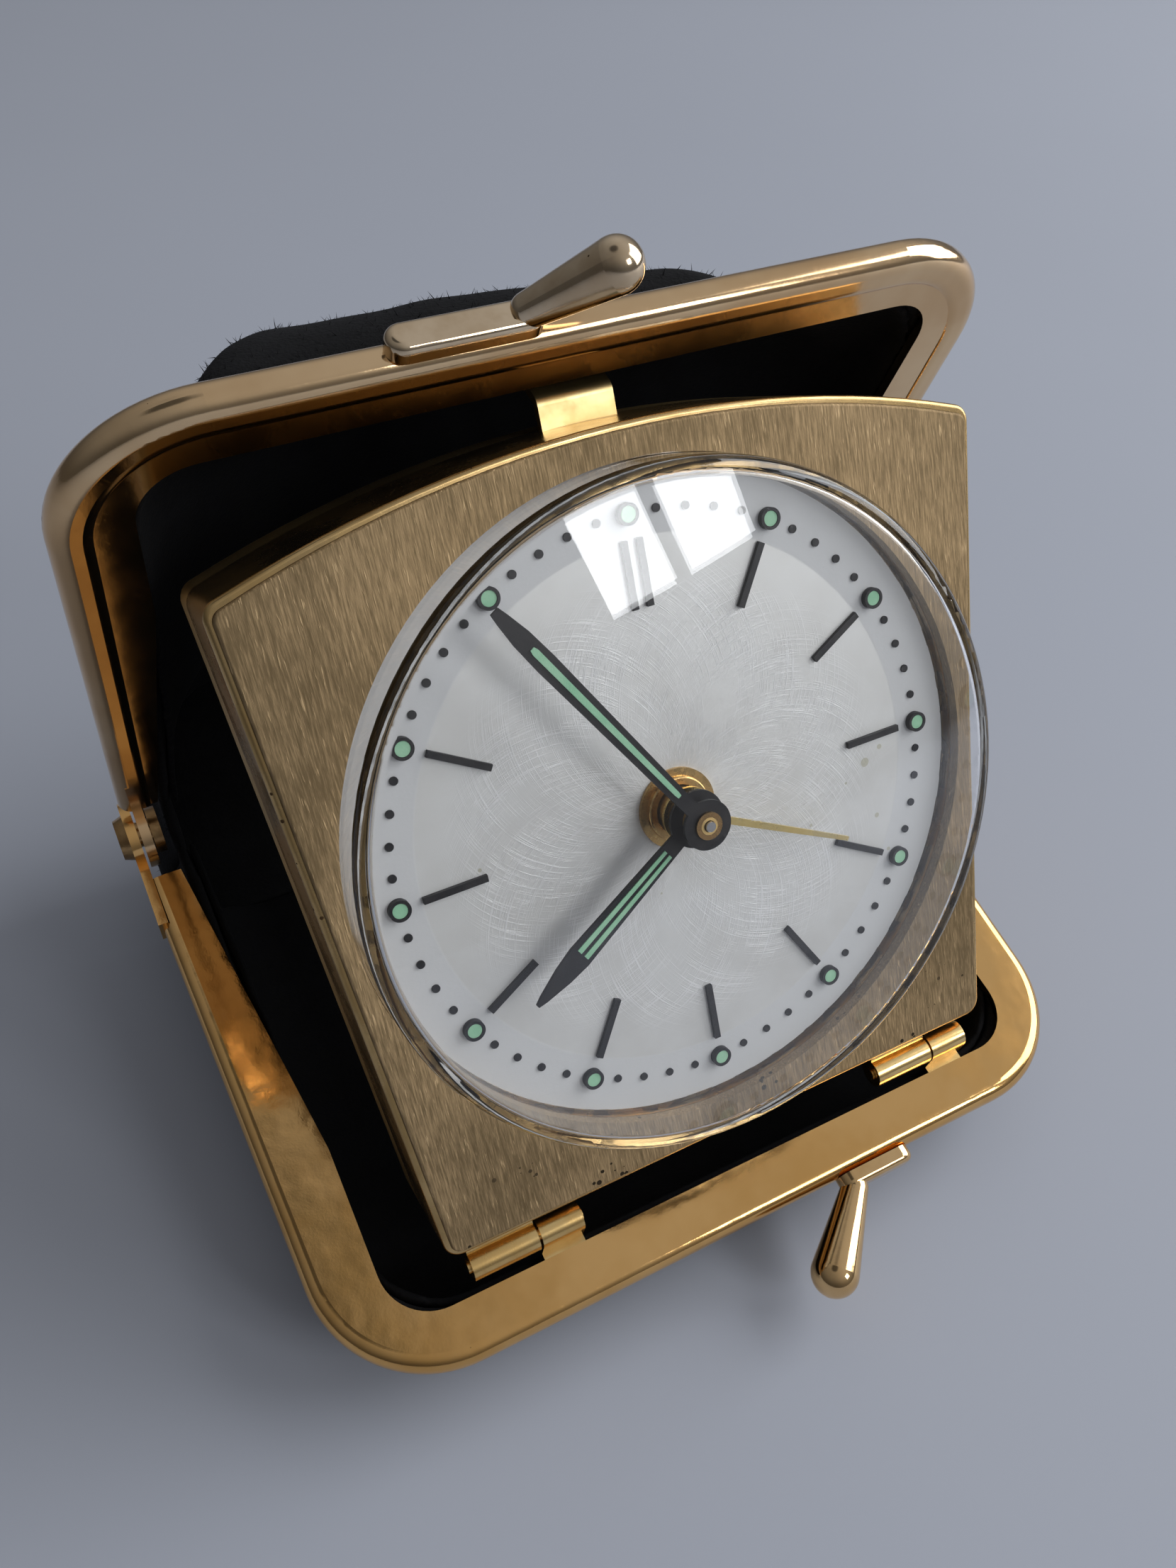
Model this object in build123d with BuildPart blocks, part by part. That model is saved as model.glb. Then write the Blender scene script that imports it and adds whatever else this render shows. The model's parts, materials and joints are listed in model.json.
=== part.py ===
from build123d import *
import os
from math import asin, atan2, cos, hypot, pi, radians, sin, sqrt, tan

# Wind-up travel alarm clock that stands up out of a kiss-lock purse. Millimetres, +Z up, front towards -Y.
# The origin is in the flat under the lower shell, on which the open purse rests.

# How the open purse stands
rest_tilt = 10.0
frame_opening = 79.1
clock_fold = 52.35
hinge_height = 16.6
hinge_setback = 18.4

# Purse frames: a round bead with a flat band inside it, bent to a U
hinge_width = 67.6
bar_width = 64.6
frame_length = 50.0
frame_corner = 9.7
bead_width = 2.9
bead_depth = 2.4
bead_round = 1.1
lower_bar_band = 4.0
upper_bar_band = 4.4
leg_band = 5.2
band_taper_start = 32.0
opening_corner = 4.0
band_thickness = 0.7
lower_band_recess = 0.0
upper_band_recess = 0.2
mating_gap = 0.15
leg_start = 4.5
leg_root_band = 3.0

# Frame hinge: two ears on each side and a rivet through them
ear_thickness = 0.8
ear_radius = 3.0
ear_gap = 0.2
ear_arm = 9.0
rivet_radius = 1.1
rivet_head_radius = 2.0
rivet_head = 0.8

# Kiss-lock clasps
lower_clasp_base_length = 6.6
upper_clasp_base_length = 9.6
clasp_base_depth = 2.2
clasp_base_thickness = 1.2
clasp_base_round = 0.55
clasp_stem_radius = 1.05
lower_clasp_base_start = 7.0
upper_clasp_base_start = 3.2
lower_ball_radius = 1.85
lower_ball_side = 3.5
lower_ball_reach = 5.7
lower_ball_drop = 2.4
upper_ball_radius = 1.6
upper_ball_side = 0.4
upper_ball_reach = 5.1
upper_ball_drop = -0.4

# Suede shells, lining and the soft spine behind the hinge
shell_side_gap = 0.35
shell_back = 1.5
shell_end_gap = 3.0
shell_wall = 1.0
lining_wall = 0.6
cloth_gap = 0.05
shell_corner = 7.5
lower_shell_round = 6.4
upper_shell_round = 9.0
upper_shell_depth = 13.0
spine_thickness = 1.0

# Clock hinge on the lower bar
pivot_setback = 5.6
pivot_lift = 1.5
dial_before_pivot = 0.2
knuckle_radius = 1.12
clock_knuckle_length = 5.1
frame_knuckle_length = 3.3
knuckle_gap = 0.2
clock_hinge_start = 13.1
hinge_pin_radius = 0.5
leaf_thickness = 0.8

# Clock case, face plate and crystal
crystal_share = 0.466
crystal_radius = crystal_share * frame_length
plate_bottom_border = 2.2
plate_top_border = 1.8
plate_side_border = 2.6
plate_foot_inset = 0.6
plate_bottom_width = 2 * (crystal_radius - plate_foot_inset)
plate_top_width = 2 * (crystal_radius + plate_side_border)
plate_bottom = crystal_radius + plate_bottom_border
plate_shoulder = crystal_radius - plate_side_border
plate_top = crystal_radius + plate_top_border
plate_corner = 0.8
plate_edge_round = 0.2
plate_thickness = 0.8
plate_front = 1.3
rim_width = 0.45
case_above_pivot = 2.15
dial_above_pivot = plate_bottom + rim_width + case_above_pivot
rim_front = 1.05
rim_round = 0.3
case_back = -5.5
cover_back = -9.2
cover_wall = 0.6
cover_round = 3.0
crystal_wall = 0.9
crystal_dome = 0.6
crystal_flange = 0.6
crystal_shoulder = 4.0
crystal_corner = 1.0
crystal_inner_corner = 0.5
crystal_top = 6.4
dome_flat = 0.4
tab_width = 5.3
tab_thickness = 0.6
tab_setback = 4.1
tab_rise = 2.05
tab_lip = 1.9
tab_lip_lean = 50.0

# Dial and its markings
dial_edge_gap = 0.8
dial_radius = crystal_radius - dial_edge_gap
dial_thickness = 0.4
dot_inset = 2.5
dot_circle = dial_radius - dot_inset
minute_dot_radius = 0.28
minute_dot_height = 0.12
hour_dot_radius = 0.73
hour_dot_height = 0.45
lume_radius = 0.5
lume_height = 0.4
bar_to_dot = 1.6
hour_bar_length = 4.4
bar_outer_radius = dot_circle - bar_to_dot
bar_inner_radius = bar_outer_radius - hour_bar_length
hour_bar_width = 0.46
hour_bar_height = 0.3
twin_bar_spread = 0.55
collet_radius = 2.85
collet_ring_radius = 2.3
collet_flange = 0.25
collet_height = 0.5

# Hands, and where they point in degrees clockwise from twelve
minute_angle = 327.4
hour_angle = 237.3
alarm_angle = 117.0
minute_hand_share = 1.03
minute_length = minute_hand_share * dot_circle
hour_hand_share = 0.8
hour_length = hour_hand_share * dot_circle
alarm_hand_share = 0.68
alarm_length = alarm_hand_share * dot_circle
hand_thickness = 0.25
hand_lume_thickness = 0.08
alarm_hand_level = 1.5
hour_hand_level = 2.6
minute_hand_level = 4.0
hand_nut_radius = 0.95
hand_nut_height = 0.2

# Movement
movement_edge_gap = 0.2
movement_plate_radius = dial_radius - movement_edge_gap
drawn_plate_radius = 22.3
movement_scale = movement_plate_radius / drawn_plate_radius
movement_plate = 0.8
motion_space = 2.0
train_space = 3.7
spacer_width = 1.0
pillar_edge = 1.5
pillar_circle = movement_plate_radius - pillar_edge
pillar_radius = 1.0
pillar_turn = 15.0
screw_radius = 0.5
screw_head_radius = 1.2
screw_head = 0.4
pivot_clearance = 0.05
fixed_clearance = 0.02
centre_arbor_radius = 0.35
cannon_tube_radius = 0.6
hour_tube_radius = 1.1
alarm_tube_radius = 1.6
train_arbor_radius = 0.22
stem_radius = 0.4
winding_arbor_radius = 0.7
tooth_gap = 0.08
wheel_thickness = 0.35
pinion_thickness = 0.65

# Wheel teeth and modules
cannon_teeth = 12
minute_wheel_teeth = 36
minute_pinion_teeth = 10
hour_wheel_teeth = 40
motion_distance = 5.0 * movement_scale
alarm_pinion_teeth = 10
alarm_wheel_teeth = 40
alarm_distance = 5.5 * movement_scale
centre_teeth = 64
centre_pinion_teeth = 10
third_teeth = 60
fourth_teeth = 80
train_pinion_teeth = 8
centre_module = 0.13 * movement_scale
third_module = 0.12 * movement_scale
fourth_module = 0.09 * movement_scale
escape_teeth = 15
escape_radius = 2.2 * movement_scale
barrel_teeth = 84
time_barrel_radius = 7.6 * movement_scale
alarm_barrel_radius = 5.8 * movement_scale
barrel_wall = 0.4
barrel_depth = 2.5
centre_pinion_radius = 0.9 * movement_scale
mainspring_strip = 0.22
mainspring_pitch = 0.62 * movement_scale
balance_radius = 5.0 * movement_scale
balance_rim = 0.8
hairspring_strip = 0.1
hairspring_pitch = 0.32 * movement_scale
hairspring_radius = 2.6 * movement_scale

# Where the arbors stand behind the dial
minute_stem_bearing = 110.0
alarm_stem_bearing = 270.0
third_bearing = 180.0
fourth_bearing = 250.0
escape_bearing = 300.0
pallet_bearing = 335.0
pallet_distance = 3.4 * movement_scale
balance_bearing = 330.0
balance_distance = 5.8 * movement_scale
time_barrel_bearing = 35.0
alarm_barrel_place = (-8.6 * movement_scale, 11.4 * movement_scale)
hammer_place = (13.5 * movement_scale, -6.5 * movement_scale)
hammer_reach = 5.7 * movement_scale
hammer_bearing = 308.0

# Keys, knobs and levers on the back
key_length = 9.0
key_width = 2.4
key_thickness = 1.6
knob_radius = 2.4
knob_height = 2.0
knob_ribs = 30
back_clearance = 0.4
stop_place = (6.0 * movement_scale, 19.0 * movement_scale)
stop_length = 3.0
stop_width = 2.0
stop_travel = 1.5
regulator_reach = 5.5
regulator_swing = 20.0

os.makedirs("parts", exist_ok=True)


def polar(distance, bearing, start=(0.0, 0.0)):
    """Point at a distance and a bearing, in degrees anticlockwise from +X, from a start point."""
    return (start[0] + distance * cos(radians(bearing)), start[1] + distance * sin(radians(bearing)))


def at_hour(distance, angle):
    """Point on the dial at a distance from its middle, in degrees clockwise from twelve."""
    return (distance * sin(radians(angle)), distance * cos(radians(angle)))


def finish(piece, name):
    """Label a finished piece and write it."""
    piece.part.label = name
    export_step(piece.part, f"parts/{name}.step")


# Planes of the two frames and of the dial. On a frame, x is along the hinge, y runs to the bar, z outward
upper_rise = frame_opening - rest_tilt
dial_lean = 90.0 - rest_tilt - clock_fold
hinge_point = (0.0, hinge_setback, hinge_height)
lower_plane = Plane(
    origin=hinge_point, x_dir=(1, 0, 0), z_dir=(0, sin(radians(rest_tilt)), -cos(radians(rest_tilt)))
)
upper_plane = Plane(
    origin=hinge_point, x_dir=(-1, 0, 0), z_dir=(0, sin(radians(upper_rise)), cos(radians(upper_rise)))
)
pivot_reach = frame_length - pivot_setback
pivot_point = lower_plane.from_local_coords(Vector(0, pivot_reach, -pivot_lift))
dial_out = (0, -cos(radians(dial_lean)), sin(radians(dial_lean)))
pivot_plane = Plane(origin=pivot_point, x_dir=(1, 0, 0), z_dir=dial_out)
dial_plane = Plane(
    origin=pivot_plane.from_local_coords(Vector(0, dial_above_pivot, dial_before_pivot)),
    x_dir=(1, 0, 0),
    z_dir=dial_out,
)
profile_plane = Plane(origin=dial_plane.origin, x_dir=(1, 0, 0), z_dir=-dial_plane.y_dir)

# Levels along the dial's axis, from the dial's face backwards
dial_back = -dial_thickness
front_plate_face = dial_back - motion_space
front_plate_back = front_plate_face - movement_plate
rear_plate_face = front_plate_back - train_space
rear_plate_back = rear_plate_face - movement_plate
cover_inside = cover_back + cover_wall
knob_level = cover_back - back_clearance

# Places of the arbors
centre_place = (0.0, 0.0)
minute_stem_place = polar(motion_distance, minute_stem_bearing)
alarm_stem_place = polar(alarm_distance, alarm_stem_bearing)
third_place = polar(centre_module * (centre_teeth + train_pinion_teeth) / 2, third_bearing)
fourth_place = polar(third_module * (third_teeth + train_pinion_teeth) / 2, fourth_bearing, third_place)
escape_place = polar(fourth_module * (fourth_teeth + train_pinion_teeth) / 2, escape_bearing, fourth_place)
pallet_place = polar(pallet_distance, pallet_bearing, escape_place)
balance_place = polar(balance_distance, balance_bearing, pallet_place)
time_barrel_place = polar(time_barrel_radius + centre_pinion_radius + 2 * tooth_gap, time_barrel_bearing)
pillar_places = [polar(pillar_circle, pillar_turn + 90 * quarter) for quarter in range(4)]


# Purse frames
def leg_half_width(reach):
    """Half the width over the legs at a distance from the hinge."""
    return hinge_width / 2 - (hinge_width - bar_width) / 2 * reach / frame_length


def frame_corners(inset):
    """Corners of the U, from one leg's start round the bar to the other's."""
    start = leg_half_width(leg_start) - inset
    end = bar_width / 2 - inset
    bar = frame_length - inset
    return [(-start, leg_start), (-end, bar), (end, bar), (start, leg_start)]


def ear_plane(plane, side):
    """Plane across the hinge axis at a distance to one side, with x to the bar and y outward."""
    return Plane(
        origin=plane.from_local_coords(Vector(side, 0, 0)), x_dir=plane.y_dir, z_dir=plane.x_dir
    )


def purse_frame(plane, ear_outside, rivet_fit, bar_band, band_recess):
    """One purse frame: swept bead, flat band and an ear with a rivet hole at each leg's end."""
    half_bead = bead_width / 2
    band_level = mating_gap + band_recess
    opening_end = frame_length - bar_band
    opening_half = leg_half_width(band_taper_start) - leg_band
    root_half = leg_half_width(leg_start) - leg_root_band
    with BuildPart() as frame:
        with BuildLine(plane.offset(mating_gap + bead_depth / 2)) as bead_path:
            FilletPolyline(*frame_corners(half_bead), radius=frame_corner - half_bead)
        start_run = bead_path.line % 0
        section = Plane(
            origin=bead_path.line @ 0, x_dir=start_run.cross(plane.z_dir), z_dir=start_run
        )
        with BuildSketch(section):
            RectangleRounded(bead_width, bead_depth, bead_round)
        sweep()
        with BuildSketch(plane.offset(band_level)):
            with BuildLine():
                FilletPolyline(*frame_corners(half_bead), radius=frame_corner - half_bead)
                Line(frame_corners(half_bead)[3], frame_corners(half_bead)[0])
            make_face()
            with BuildLine():
                FilletPolyline(
                    (-root_half, leg_start), (-opening_half, band_taper_start), (-opening_half, opening_end),
                    (opening_half, opening_end), (opening_half, band_taper_start), (root_half, leg_start),
                    radius=opening_corner,
                )
                Line((root_half, leg_start), (-root_half, leg_start))
            make_face(mode=Mode.SUBTRACT)
        extrude(amount=band_thickness)
        for side in (-1, 1):
            near_face = side * (ear_outside - ear_thickness / 2) - ear_thickness / 2
            with BuildSketch(ear_plane(plane, near_face)):
                Circle(ear_radius)
                with Locations((ear_arm / 2, mating_gap + bead_depth / 2)):
                    Rectangle(ear_arm, bead_depth)
                Circle(rivet_radius + rivet_fit, mode=Mode.SUBTRACT)
            extrude(amount=ear_thickness)
    return frame


lower_ear_outside = hinge_width / 2
upper_ear_outside = lower_ear_outside - ear_thickness - ear_gap

lower_frame = purse_frame(lower_plane, lower_ear_outside, fixed_clearance, lower_bar_band, lower_band_recess)
finish(lower_frame, "lower_frame")

upper_frame = purse_frame(upper_plane, upper_ear_outside, pivot_clearance, upper_bar_band, upper_band_recess)
finish(upper_frame, "upper_frame")

# Rivets: the outer head is set on the lower ear, the inner head stands just clear of the upper ear
rivet_inner = upper_ear_outside - ear_thickness - ear_gap / 2
with BuildPart() as frame_rivets:
    for side in (-1, 1):
        across = Plane(origin=hinge_point, x_dir=(0, side, 0), z_dir=(side, 0, 0))
        with BuildSketch(across.offset(rivet_inner)):
            Circle(rivet_radius)
        extrude(amount=lower_ear_outside - rivet_inner)
        with BuildSketch(across.offset(lower_ear_outside)):
            Circle(rivet_head_radius)
        extrude(amount=rivet_head, taper=20)
        with BuildSketch(across.offset(rivet_inner - rivet_head)):
            Circle(rivet_head_radius)
        extrude(amount=rivet_head)
finish(frame_rivets, "frame_rivets")


# Kiss-lock clasps
def clasp(plane, base_start, base_length, ball_radius, ball_side, ball_reach, ball_drop):
    """A strip on the bar's outside and a teardrop that runs from its end to a ball."""
    bar_middle = mating_gap + bead_depth / 2
    stem_reach = frame_length + clasp_stem_radius + fixed_clearance
    root = plane.from_local_coords(Vector(base_start + clasp_stem_radius, stem_reach, bar_middle))
    ball = plane.from_local_coords(Vector(ball_side, frame_length + ball_reach, ball_drop))
    run = ball - root
    stem = run.normalized()
    sideways = (plane.x_dir - stem * plane.x_dir.dot(stem)).normalized()
    slant = hypot(clasp_stem_radius, run.length)
    lean = asin(ball_radius / slant) - atan2(clasp_stem_radius, run.length)
    tangent = sqrt(slant**2 - ball_radius**2)
    touch = (clasp_stem_radius + tangent * sin(lean), tangent * cos(lean))
    crown = (pi / 2 - lean) / 2
    over = (ball_radius * cos(crown), run.length + ball_radius * sin(crown))
    tip = (0, run.length + ball_radius)
    stem_foot = (0, -clasp_stem_radius)
    stem_round = polar(clasp_stem_radius, -45)
    with BuildPart() as lock:
        base_middle = Vector(base_start + base_length / 2, frame_length, bar_middle)
        base_plane = Plane(origin=plane.from_local_coords(base_middle), x_dir=plane.x_dir, z_dir=plane.y_dir)
        with BuildSketch(base_plane):
            SlotOverall(base_length, clasp_base_depth)
        extrude(amount=clasp_base_thickness)
        fillet(lock.faces().sort_by(Axis(plane.origin, plane.y_dir))[-1].edges(), clasp_base_round)
        with BuildSketch(Plane(origin=root, x_dir=sideways, z_dir=sideways.cross(stem))):
            with BuildLine():
                Line(tip, stem_foot)
                ThreePointArc(stem_foot, stem_round, (clasp_stem_radius, 0))
                Line((clasp_stem_radius, 0), touch)
                ThreePointArc(touch, over, tip)
            make_face()
        revolve(axis=Axis(root, stem))
    return lock


lower_clasp = clasp(
    lower_plane, lower_clasp_base_start, lower_clasp_base_length,
    lower_ball_radius, lower_ball_side, lower_ball_reach, lower_ball_drop,
)
finish(lower_clasp, "lower_clasp")

upper_clasp = clasp(
    upper_plane, upper_clasp_base_start, upper_clasp_base_length,
    upper_ball_radius, upper_ball_side, upper_ball_reach, upper_ball_drop,
)
finish(upper_clasp, "upper_clasp")


# Shells and linings: trays that are open at the mouth and at the hinge end
def tray(plane, floor, band_recess, inset, wall, floor_round):
    """A soft tray hung in a frame, with rounded corners and a flat floor."""
    front = frame_length - shell_end_gap - inset
    back_half = leg_half_width(shell_back) - bead_width - shell_side_gap - inset
    front_half = leg_half_width(front) - bead_width - shell_side_gap - inset
    mouth = mating_gap + band_recess + band_thickness
    with BuildPart() as shell:
        with BuildSketch(plane.offset(mouth)) as plan:
            Polygon((-back_half, shell_back), (back_half, shell_back), (front_half, front), (-front_half, front),
                    align=None)
            fillet(plan.vertices().group_by(Axis.Y)[-1], shell_corner - inset)
        extrude(amount=2 * hinge_height)
        split(bisect_by=floor.offset(inset), keep=Keep.TOP)
        floor_face = shell.faces().sort_by(Axis(floor.origin, floor.z_dir))[0]
        back_edge = floor_face.edges().sort_by(Axis(plane.origin, plane.y_dir))[0]
        fillet([edge for edge in floor_face.edges() if edge != back_edge], floor_round - inset)
        mouth_face = shell.faces().sort_by(Axis(plane.origin, plane.z_dir))[0]
        hinge_face = shell.faces().sort_by(Axis(plane.origin, plane.y_dir))[0]
        offset(amount=-wall, openings=[mouth_face, hinge_face])
    return shell


lining_inset = shell_wall + cloth_gap
lower_floor = Plane.XY
upper_floor = Plane(
    origin=upper_plane.from_local_coords(Vector(0, 0, upper_shell_depth)), z_dir=-upper_plane.z_dir
)

lower_shell = tray(lower_plane, lower_floor, lower_band_recess, 0.0, shell_wall, lower_shell_round)
finish(lower_shell, "lower_shell")

lower_lining = tray(lower_plane, lower_floor, lower_band_recess, lining_inset, lining_wall, lower_shell_round)
finish(lower_lining, "lower_lining")

upper_shell = tray(upper_plane, upper_floor, upper_band_recess, 0.0, shell_wall, upper_shell_round)
finish(upper_shell, "upper_shell")

upper_lining = tray(upper_plane, upper_floor, upper_band_recess, lining_inset, lining_wall, upper_shell_round)
finish(upper_lining, "upper_lining")

# Spine gusset: a soft round back from one shell's floor to the other's, closed at both ends
across_hinge = Plane(origin=(0, 0, 0), x_dir=(0, 1, 0), z_dir=(1, 0, 0))
lower_floor_depth = (hinge_height - shell_back * sin(radians(rest_tilt))) / cos(radians(rest_tilt))


def across_point(plane, reach, depth):
    """A point of a frame's side view, in the plane across the hinge."""
    place = plane.from_local_coords(Vector(0, reach, depth))
    return (place.Y, place.Z)


spine_edge = shell_back - cloth_gap
spine_half_width = leg_half_width(shell_back) - bead_width - shell_side_gap
spine_start = across_point(lower_plane, spine_edge, lower_floor_depth - spine_thickness)
spine_end = across_point(upper_plane, spine_edge, upper_shell_depth - spine_thickness / 2)
spine_heart = across_point(lower_plane, spine_edge, -spine_edge * tan(radians(frame_opening / 2)))
spine_run = (-lower_plane.y_dir.Y, -lower_plane.y_dir.Z)
with BuildPart() as spine_gusset:
    with BuildSketch(across_hinge.offset(-spine_half_width)):
        with BuildLine():
            TangentArc(spine_start, spine_end, tangent=spine_run)
        trace(line_width=spine_thickness)
    extrude(amount=2 * spine_half_width)
    for side in (-spine_half_width, spine_half_width - spine_thickness):
        with BuildSketch(across_hinge.offset(side)):
            with BuildLine():
                TangentArc(spine_start, spine_end, tangent=spine_run)
                Polyline(spine_end, spine_heart, spine_start)
            make_face()
        extrude(amount=spine_thickness)
    for plane in (lower_plane, upper_plane):
        edge_point = plane.from_local_coords(Vector(0, spine_edge, 0))
        split(bisect_by=Plane(origin=edge_point, z_dir=-plane.y_dir), keep=Keep.TOP)
finish(spine_gusset, "spine_gusset")

# Clock hinge: each hinge has a clock knuckle, then a frame knuckle, on one pin
hinge_length = clock_knuckle_length + knuckle_gap + frame_knuckle_length
hinge_starts = (-clock_hinge_start - hinge_length, clock_hinge_start)
case_bottom = plate_bottom + rim_width
band_inner = frame_length - lower_bar_band
band_top = mating_gap + lower_band_recess


def pivot_section(side, along):
    """Plane across the clock's hinge pin at one side, with x along a given direction."""
    return Plane(origin=(side, pivot_point.Y, pivot_point.Z), x_dir=along, z_dir=(1, 0, 0))


with BuildPart() as clock_knuckles:
    for start in hinge_starts:
        with BuildSketch(pivot_section(start, dial_plane.y_dir)):
            Circle(knuckle_radius)
            with Locations(((dial_above_pivot - case_bottom) / 2, -dial_before_pivot)):
                Rectangle(dial_above_pivot - case_bottom, leaf_thickness)
            Circle(hinge_pin_radius + pivot_clearance, mode=Mode.SUBTRACT)
        extrude(amount=clock_knuckle_length)
finish(clock_knuckles, "clock_knuckles")

with BuildPart() as frame_knuckles:
    foot_end = band_inner - pivot_reach
    foot_depth = pivot_lift + band_top
    web_start = knuckle_radius / 2
    for start in hinge_starts:
        with BuildSketch(pivot_section(start + clock_knuckle_length + knuckle_gap, lower_plane.y_dir)):
            Circle(knuckle_radius)
            with Locations((web_start, 0)):
                Rectangle(knuckle_radius - web_start, foot_depth + band_thickness, align=Align.MIN)
            with Locations((web_start, foot_depth)):
                Rectangle(foot_end - web_start, band_thickness, align=Align.MIN)
            Circle(hinge_pin_radius + fixed_clearance, mode=Mode.SUBTRACT)
        extrude(amount=frame_knuckle_length)
finish(frame_knuckles, "frame_knuckles")

with BuildPart() as hinge_pins:
    for start in hinge_starts:
        with BuildSketch(pivot_section(start - knuckle_gap, dial_plane.y_dir)):
            Circle(hinge_pin_radius)
        extrude(amount=hinge_length + 2 * knuckle_gap)
finish(hinge_pins, "hinge_pins")


# Clock case
def face_half_width(height):
    """Half the face plate's width at a height on the dial."""
    rise = (height + plate_bottom) / (plate_shoulder + plate_bottom)
    return (plate_bottom_width + (plate_top_width - plate_bottom_width) * rise) / 2


def face_outline(grow):
    """The face plate's outline, grown by a margin: straight sides and an arched top."""
    low = -plate_bottom - grow
    low_half = face_half_width(low) + grow
    high = plate_shoulder + grow
    high_half = face_half_width(high) + grow
    with BuildLine() as outline:
        Polyline((-high_half, high), (-low_half, low), (low_half, low), (high_half, high))
        ThreePointArc((high_half, high), (0, plate_top + grow), (-high_half, high))
    return outline.edges()


plate_back = plate_front - plate_thickness
dial_levels = Axis(dial_plane.origin, dial_plane.z_dir)
with BuildPart() as clock_case:
    with BuildSketch(dial_plane.offset(case_back)) as outside:
        make_face(face_outline(rim_width))
        fillet(outside.vertices(), plate_corner + rim_width)
    extrude(amount=rim_front - case_back)
    fillet(clock_case.faces().sort_by(dial_levels)[-1].edges(), rim_round)
    with BuildSketch(dial_plane.offset(plate_back)) as recess:
        make_face(face_outline(fixed_clearance))
        fillet(recess.vertices(), plate_corner)
    extrude(amount=rim_front - plate_back, mode=Mode.SUBTRACT)
    with BuildSketch(dial_plane.offset(case_back)) as cavity:
        make_face(face_outline(-fixed_clearance))
        fillet(cavity.vertices(), plate_corner)
    extrude(amount=dial_back - case_back, mode=Mode.SUBTRACT)
    with BuildSketch(dial_plane.offset(dial_back)):
        Circle(dial_radius + 3 * pivot_clearance)
    extrude(amount=plate_back - dial_back, mode=Mode.SUBTRACT)
    with BuildSketch(dial_plane):
        Circle(crystal_radius + crystal_flange + pivot_clearance)
    extrude(amount=plate_back, mode=Mode.SUBTRACT)
    with BuildSketch(dial_plane.offset(-tab_setback - tab_thickness - fixed_clearance)):
        with Locations((0, plate_top + rim_width / 2)):
            Rectangle(tab_width + 2 * fixed_clearance, 2 * rim_width)
    extrude(amount=tab_thickness + 2 * fixed_clearance, mode=Mode.SUBTRACT)
finish(clock_case, "clock_case")

with BuildPart() as lifting_tab:
    tab_middle = -tab_setback - tab_thickness / 2
    tab_bend = plate_top + rim_width + tab_rise - tab_thickness / 2
    lip_end = (
        tab_bend + tab_lip * cos(radians(tab_lip_lean)),
        tab_middle - tab_lip * sin(radians(tab_lip_lean)),
    )
    tab_side = Plane(
        origin=dial_plane.from_local_coords(Vector(-tab_width / 2, 0, 0)),
        x_dir=dial_plane.y_dir,
        z_dir=dial_plane.x_dir,
    )
    with BuildSketch(tab_side):
        with BuildLine():
            FilletPolyline((plate_top, tab_middle), (tab_bend, tab_middle), lip_end, radius=tab_thickness)
        trace(line_width=tab_thickness)
    extrude(amount=tab_width)
finish(lifting_tab, "lifting_tab")

with BuildPart() as face_plate:
    with BuildSketch(dial_plane.offset(plate_back)) as plate_face:
        make_face(face_outline(0))
        fillet(plate_face.vertices(), plate_corner)
        Circle(crystal_radius + pivot_clearance, mode=Mode.SUBTRACT)
    extrude(amount=plate_thickness)
    fillet(face_plate.faces().sort_by(dial_levels)[-1].outer_wire().edges(), plate_edge_round)
finish(face_plate, "face_plate")

# Crystal: a flange under the plate, an upright wall, a rounded shoulder and a shallow dome with a small flat on top
def dome_point(edge, top, across):
    """Point of a dome's arc at a distance from the axis, from the arc's edge and its top on the axis."""
    drop = top - edge[1]
    radius = (edge[0] ** 2 + drop**2) / (2 * drop)
    return (across, top - radius + sqrt(radius**2 - across**2))


def corner_points(start, size):
    """Middle and end of a shoulder's arc that starts upright and ends with a dome's slight slope."""
    return (start[0] - 0.29 * size, start[1] + 0.71 * size), (start[0] - 0.87 * size, start[1] + 0.99 * size)


inner_radius = crystal_radius - crystal_wall
inner_top = crystal_top - crystal_dome
outer_start = (crystal_radius, crystal_shoulder)
inner_start = (inner_radius, crystal_shoulder + crystal_corner - crystal_dome - crystal_inner_corner)
outer_middle, outer_edge = corner_points(outer_start, crystal_corner)
inner_middle, inner_edge = corner_points(inner_start, crystal_inner_corner)
outer_flat = dome_point(outer_edge, crystal_top, dome_flat)
inner_flat = dome_point(inner_edge, inner_top, dome_flat)
with BuildPart() as crystal:
    with BuildSketch(profile_plane):
        with BuildLine():
            Polyline(
                (inner_radius, 0), (crystal_radius + crystal_flange, 0),
                (crystal_radius + crystal_flange, plate_back), (crystal_radius, plate_back),
                outer_start,
            )
            ThreePointArc(outer_start, outer_middle, outer_edge)
            ThreePointArc(outer_edge, dome_point(outer_edge, crystal_top, outer_edge[0] / 2), outer_flat)
            Polyline(outer_flat, (0, outer_flat[1]), (0, inner_flat[1]), inner_flat)
            ThreePointArc(inner_flat, dome_point(inner_edge, inner_top, inner_edge[0] / 2), inner_edge)
            ThreePointArc(inner_edge, inner_middle, inner_start)
            Line(inner_start, (inner_radius, 0))
        make_face()
    revolve(axis=dial_levels)
finish(crystal, "crystal")

# Dial and applied markings
with BuildPart() as dial:
    with BuildSketch(dial_plane.offset(dial_back)):
        Circle(dial_radius)
        Circle(alarm_tube_radius + 3 * pivot_clearance, mode=Mode.SUBTRACT)
    extrude(amount=dial_thickness)
finish(dial, "dial")

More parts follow.
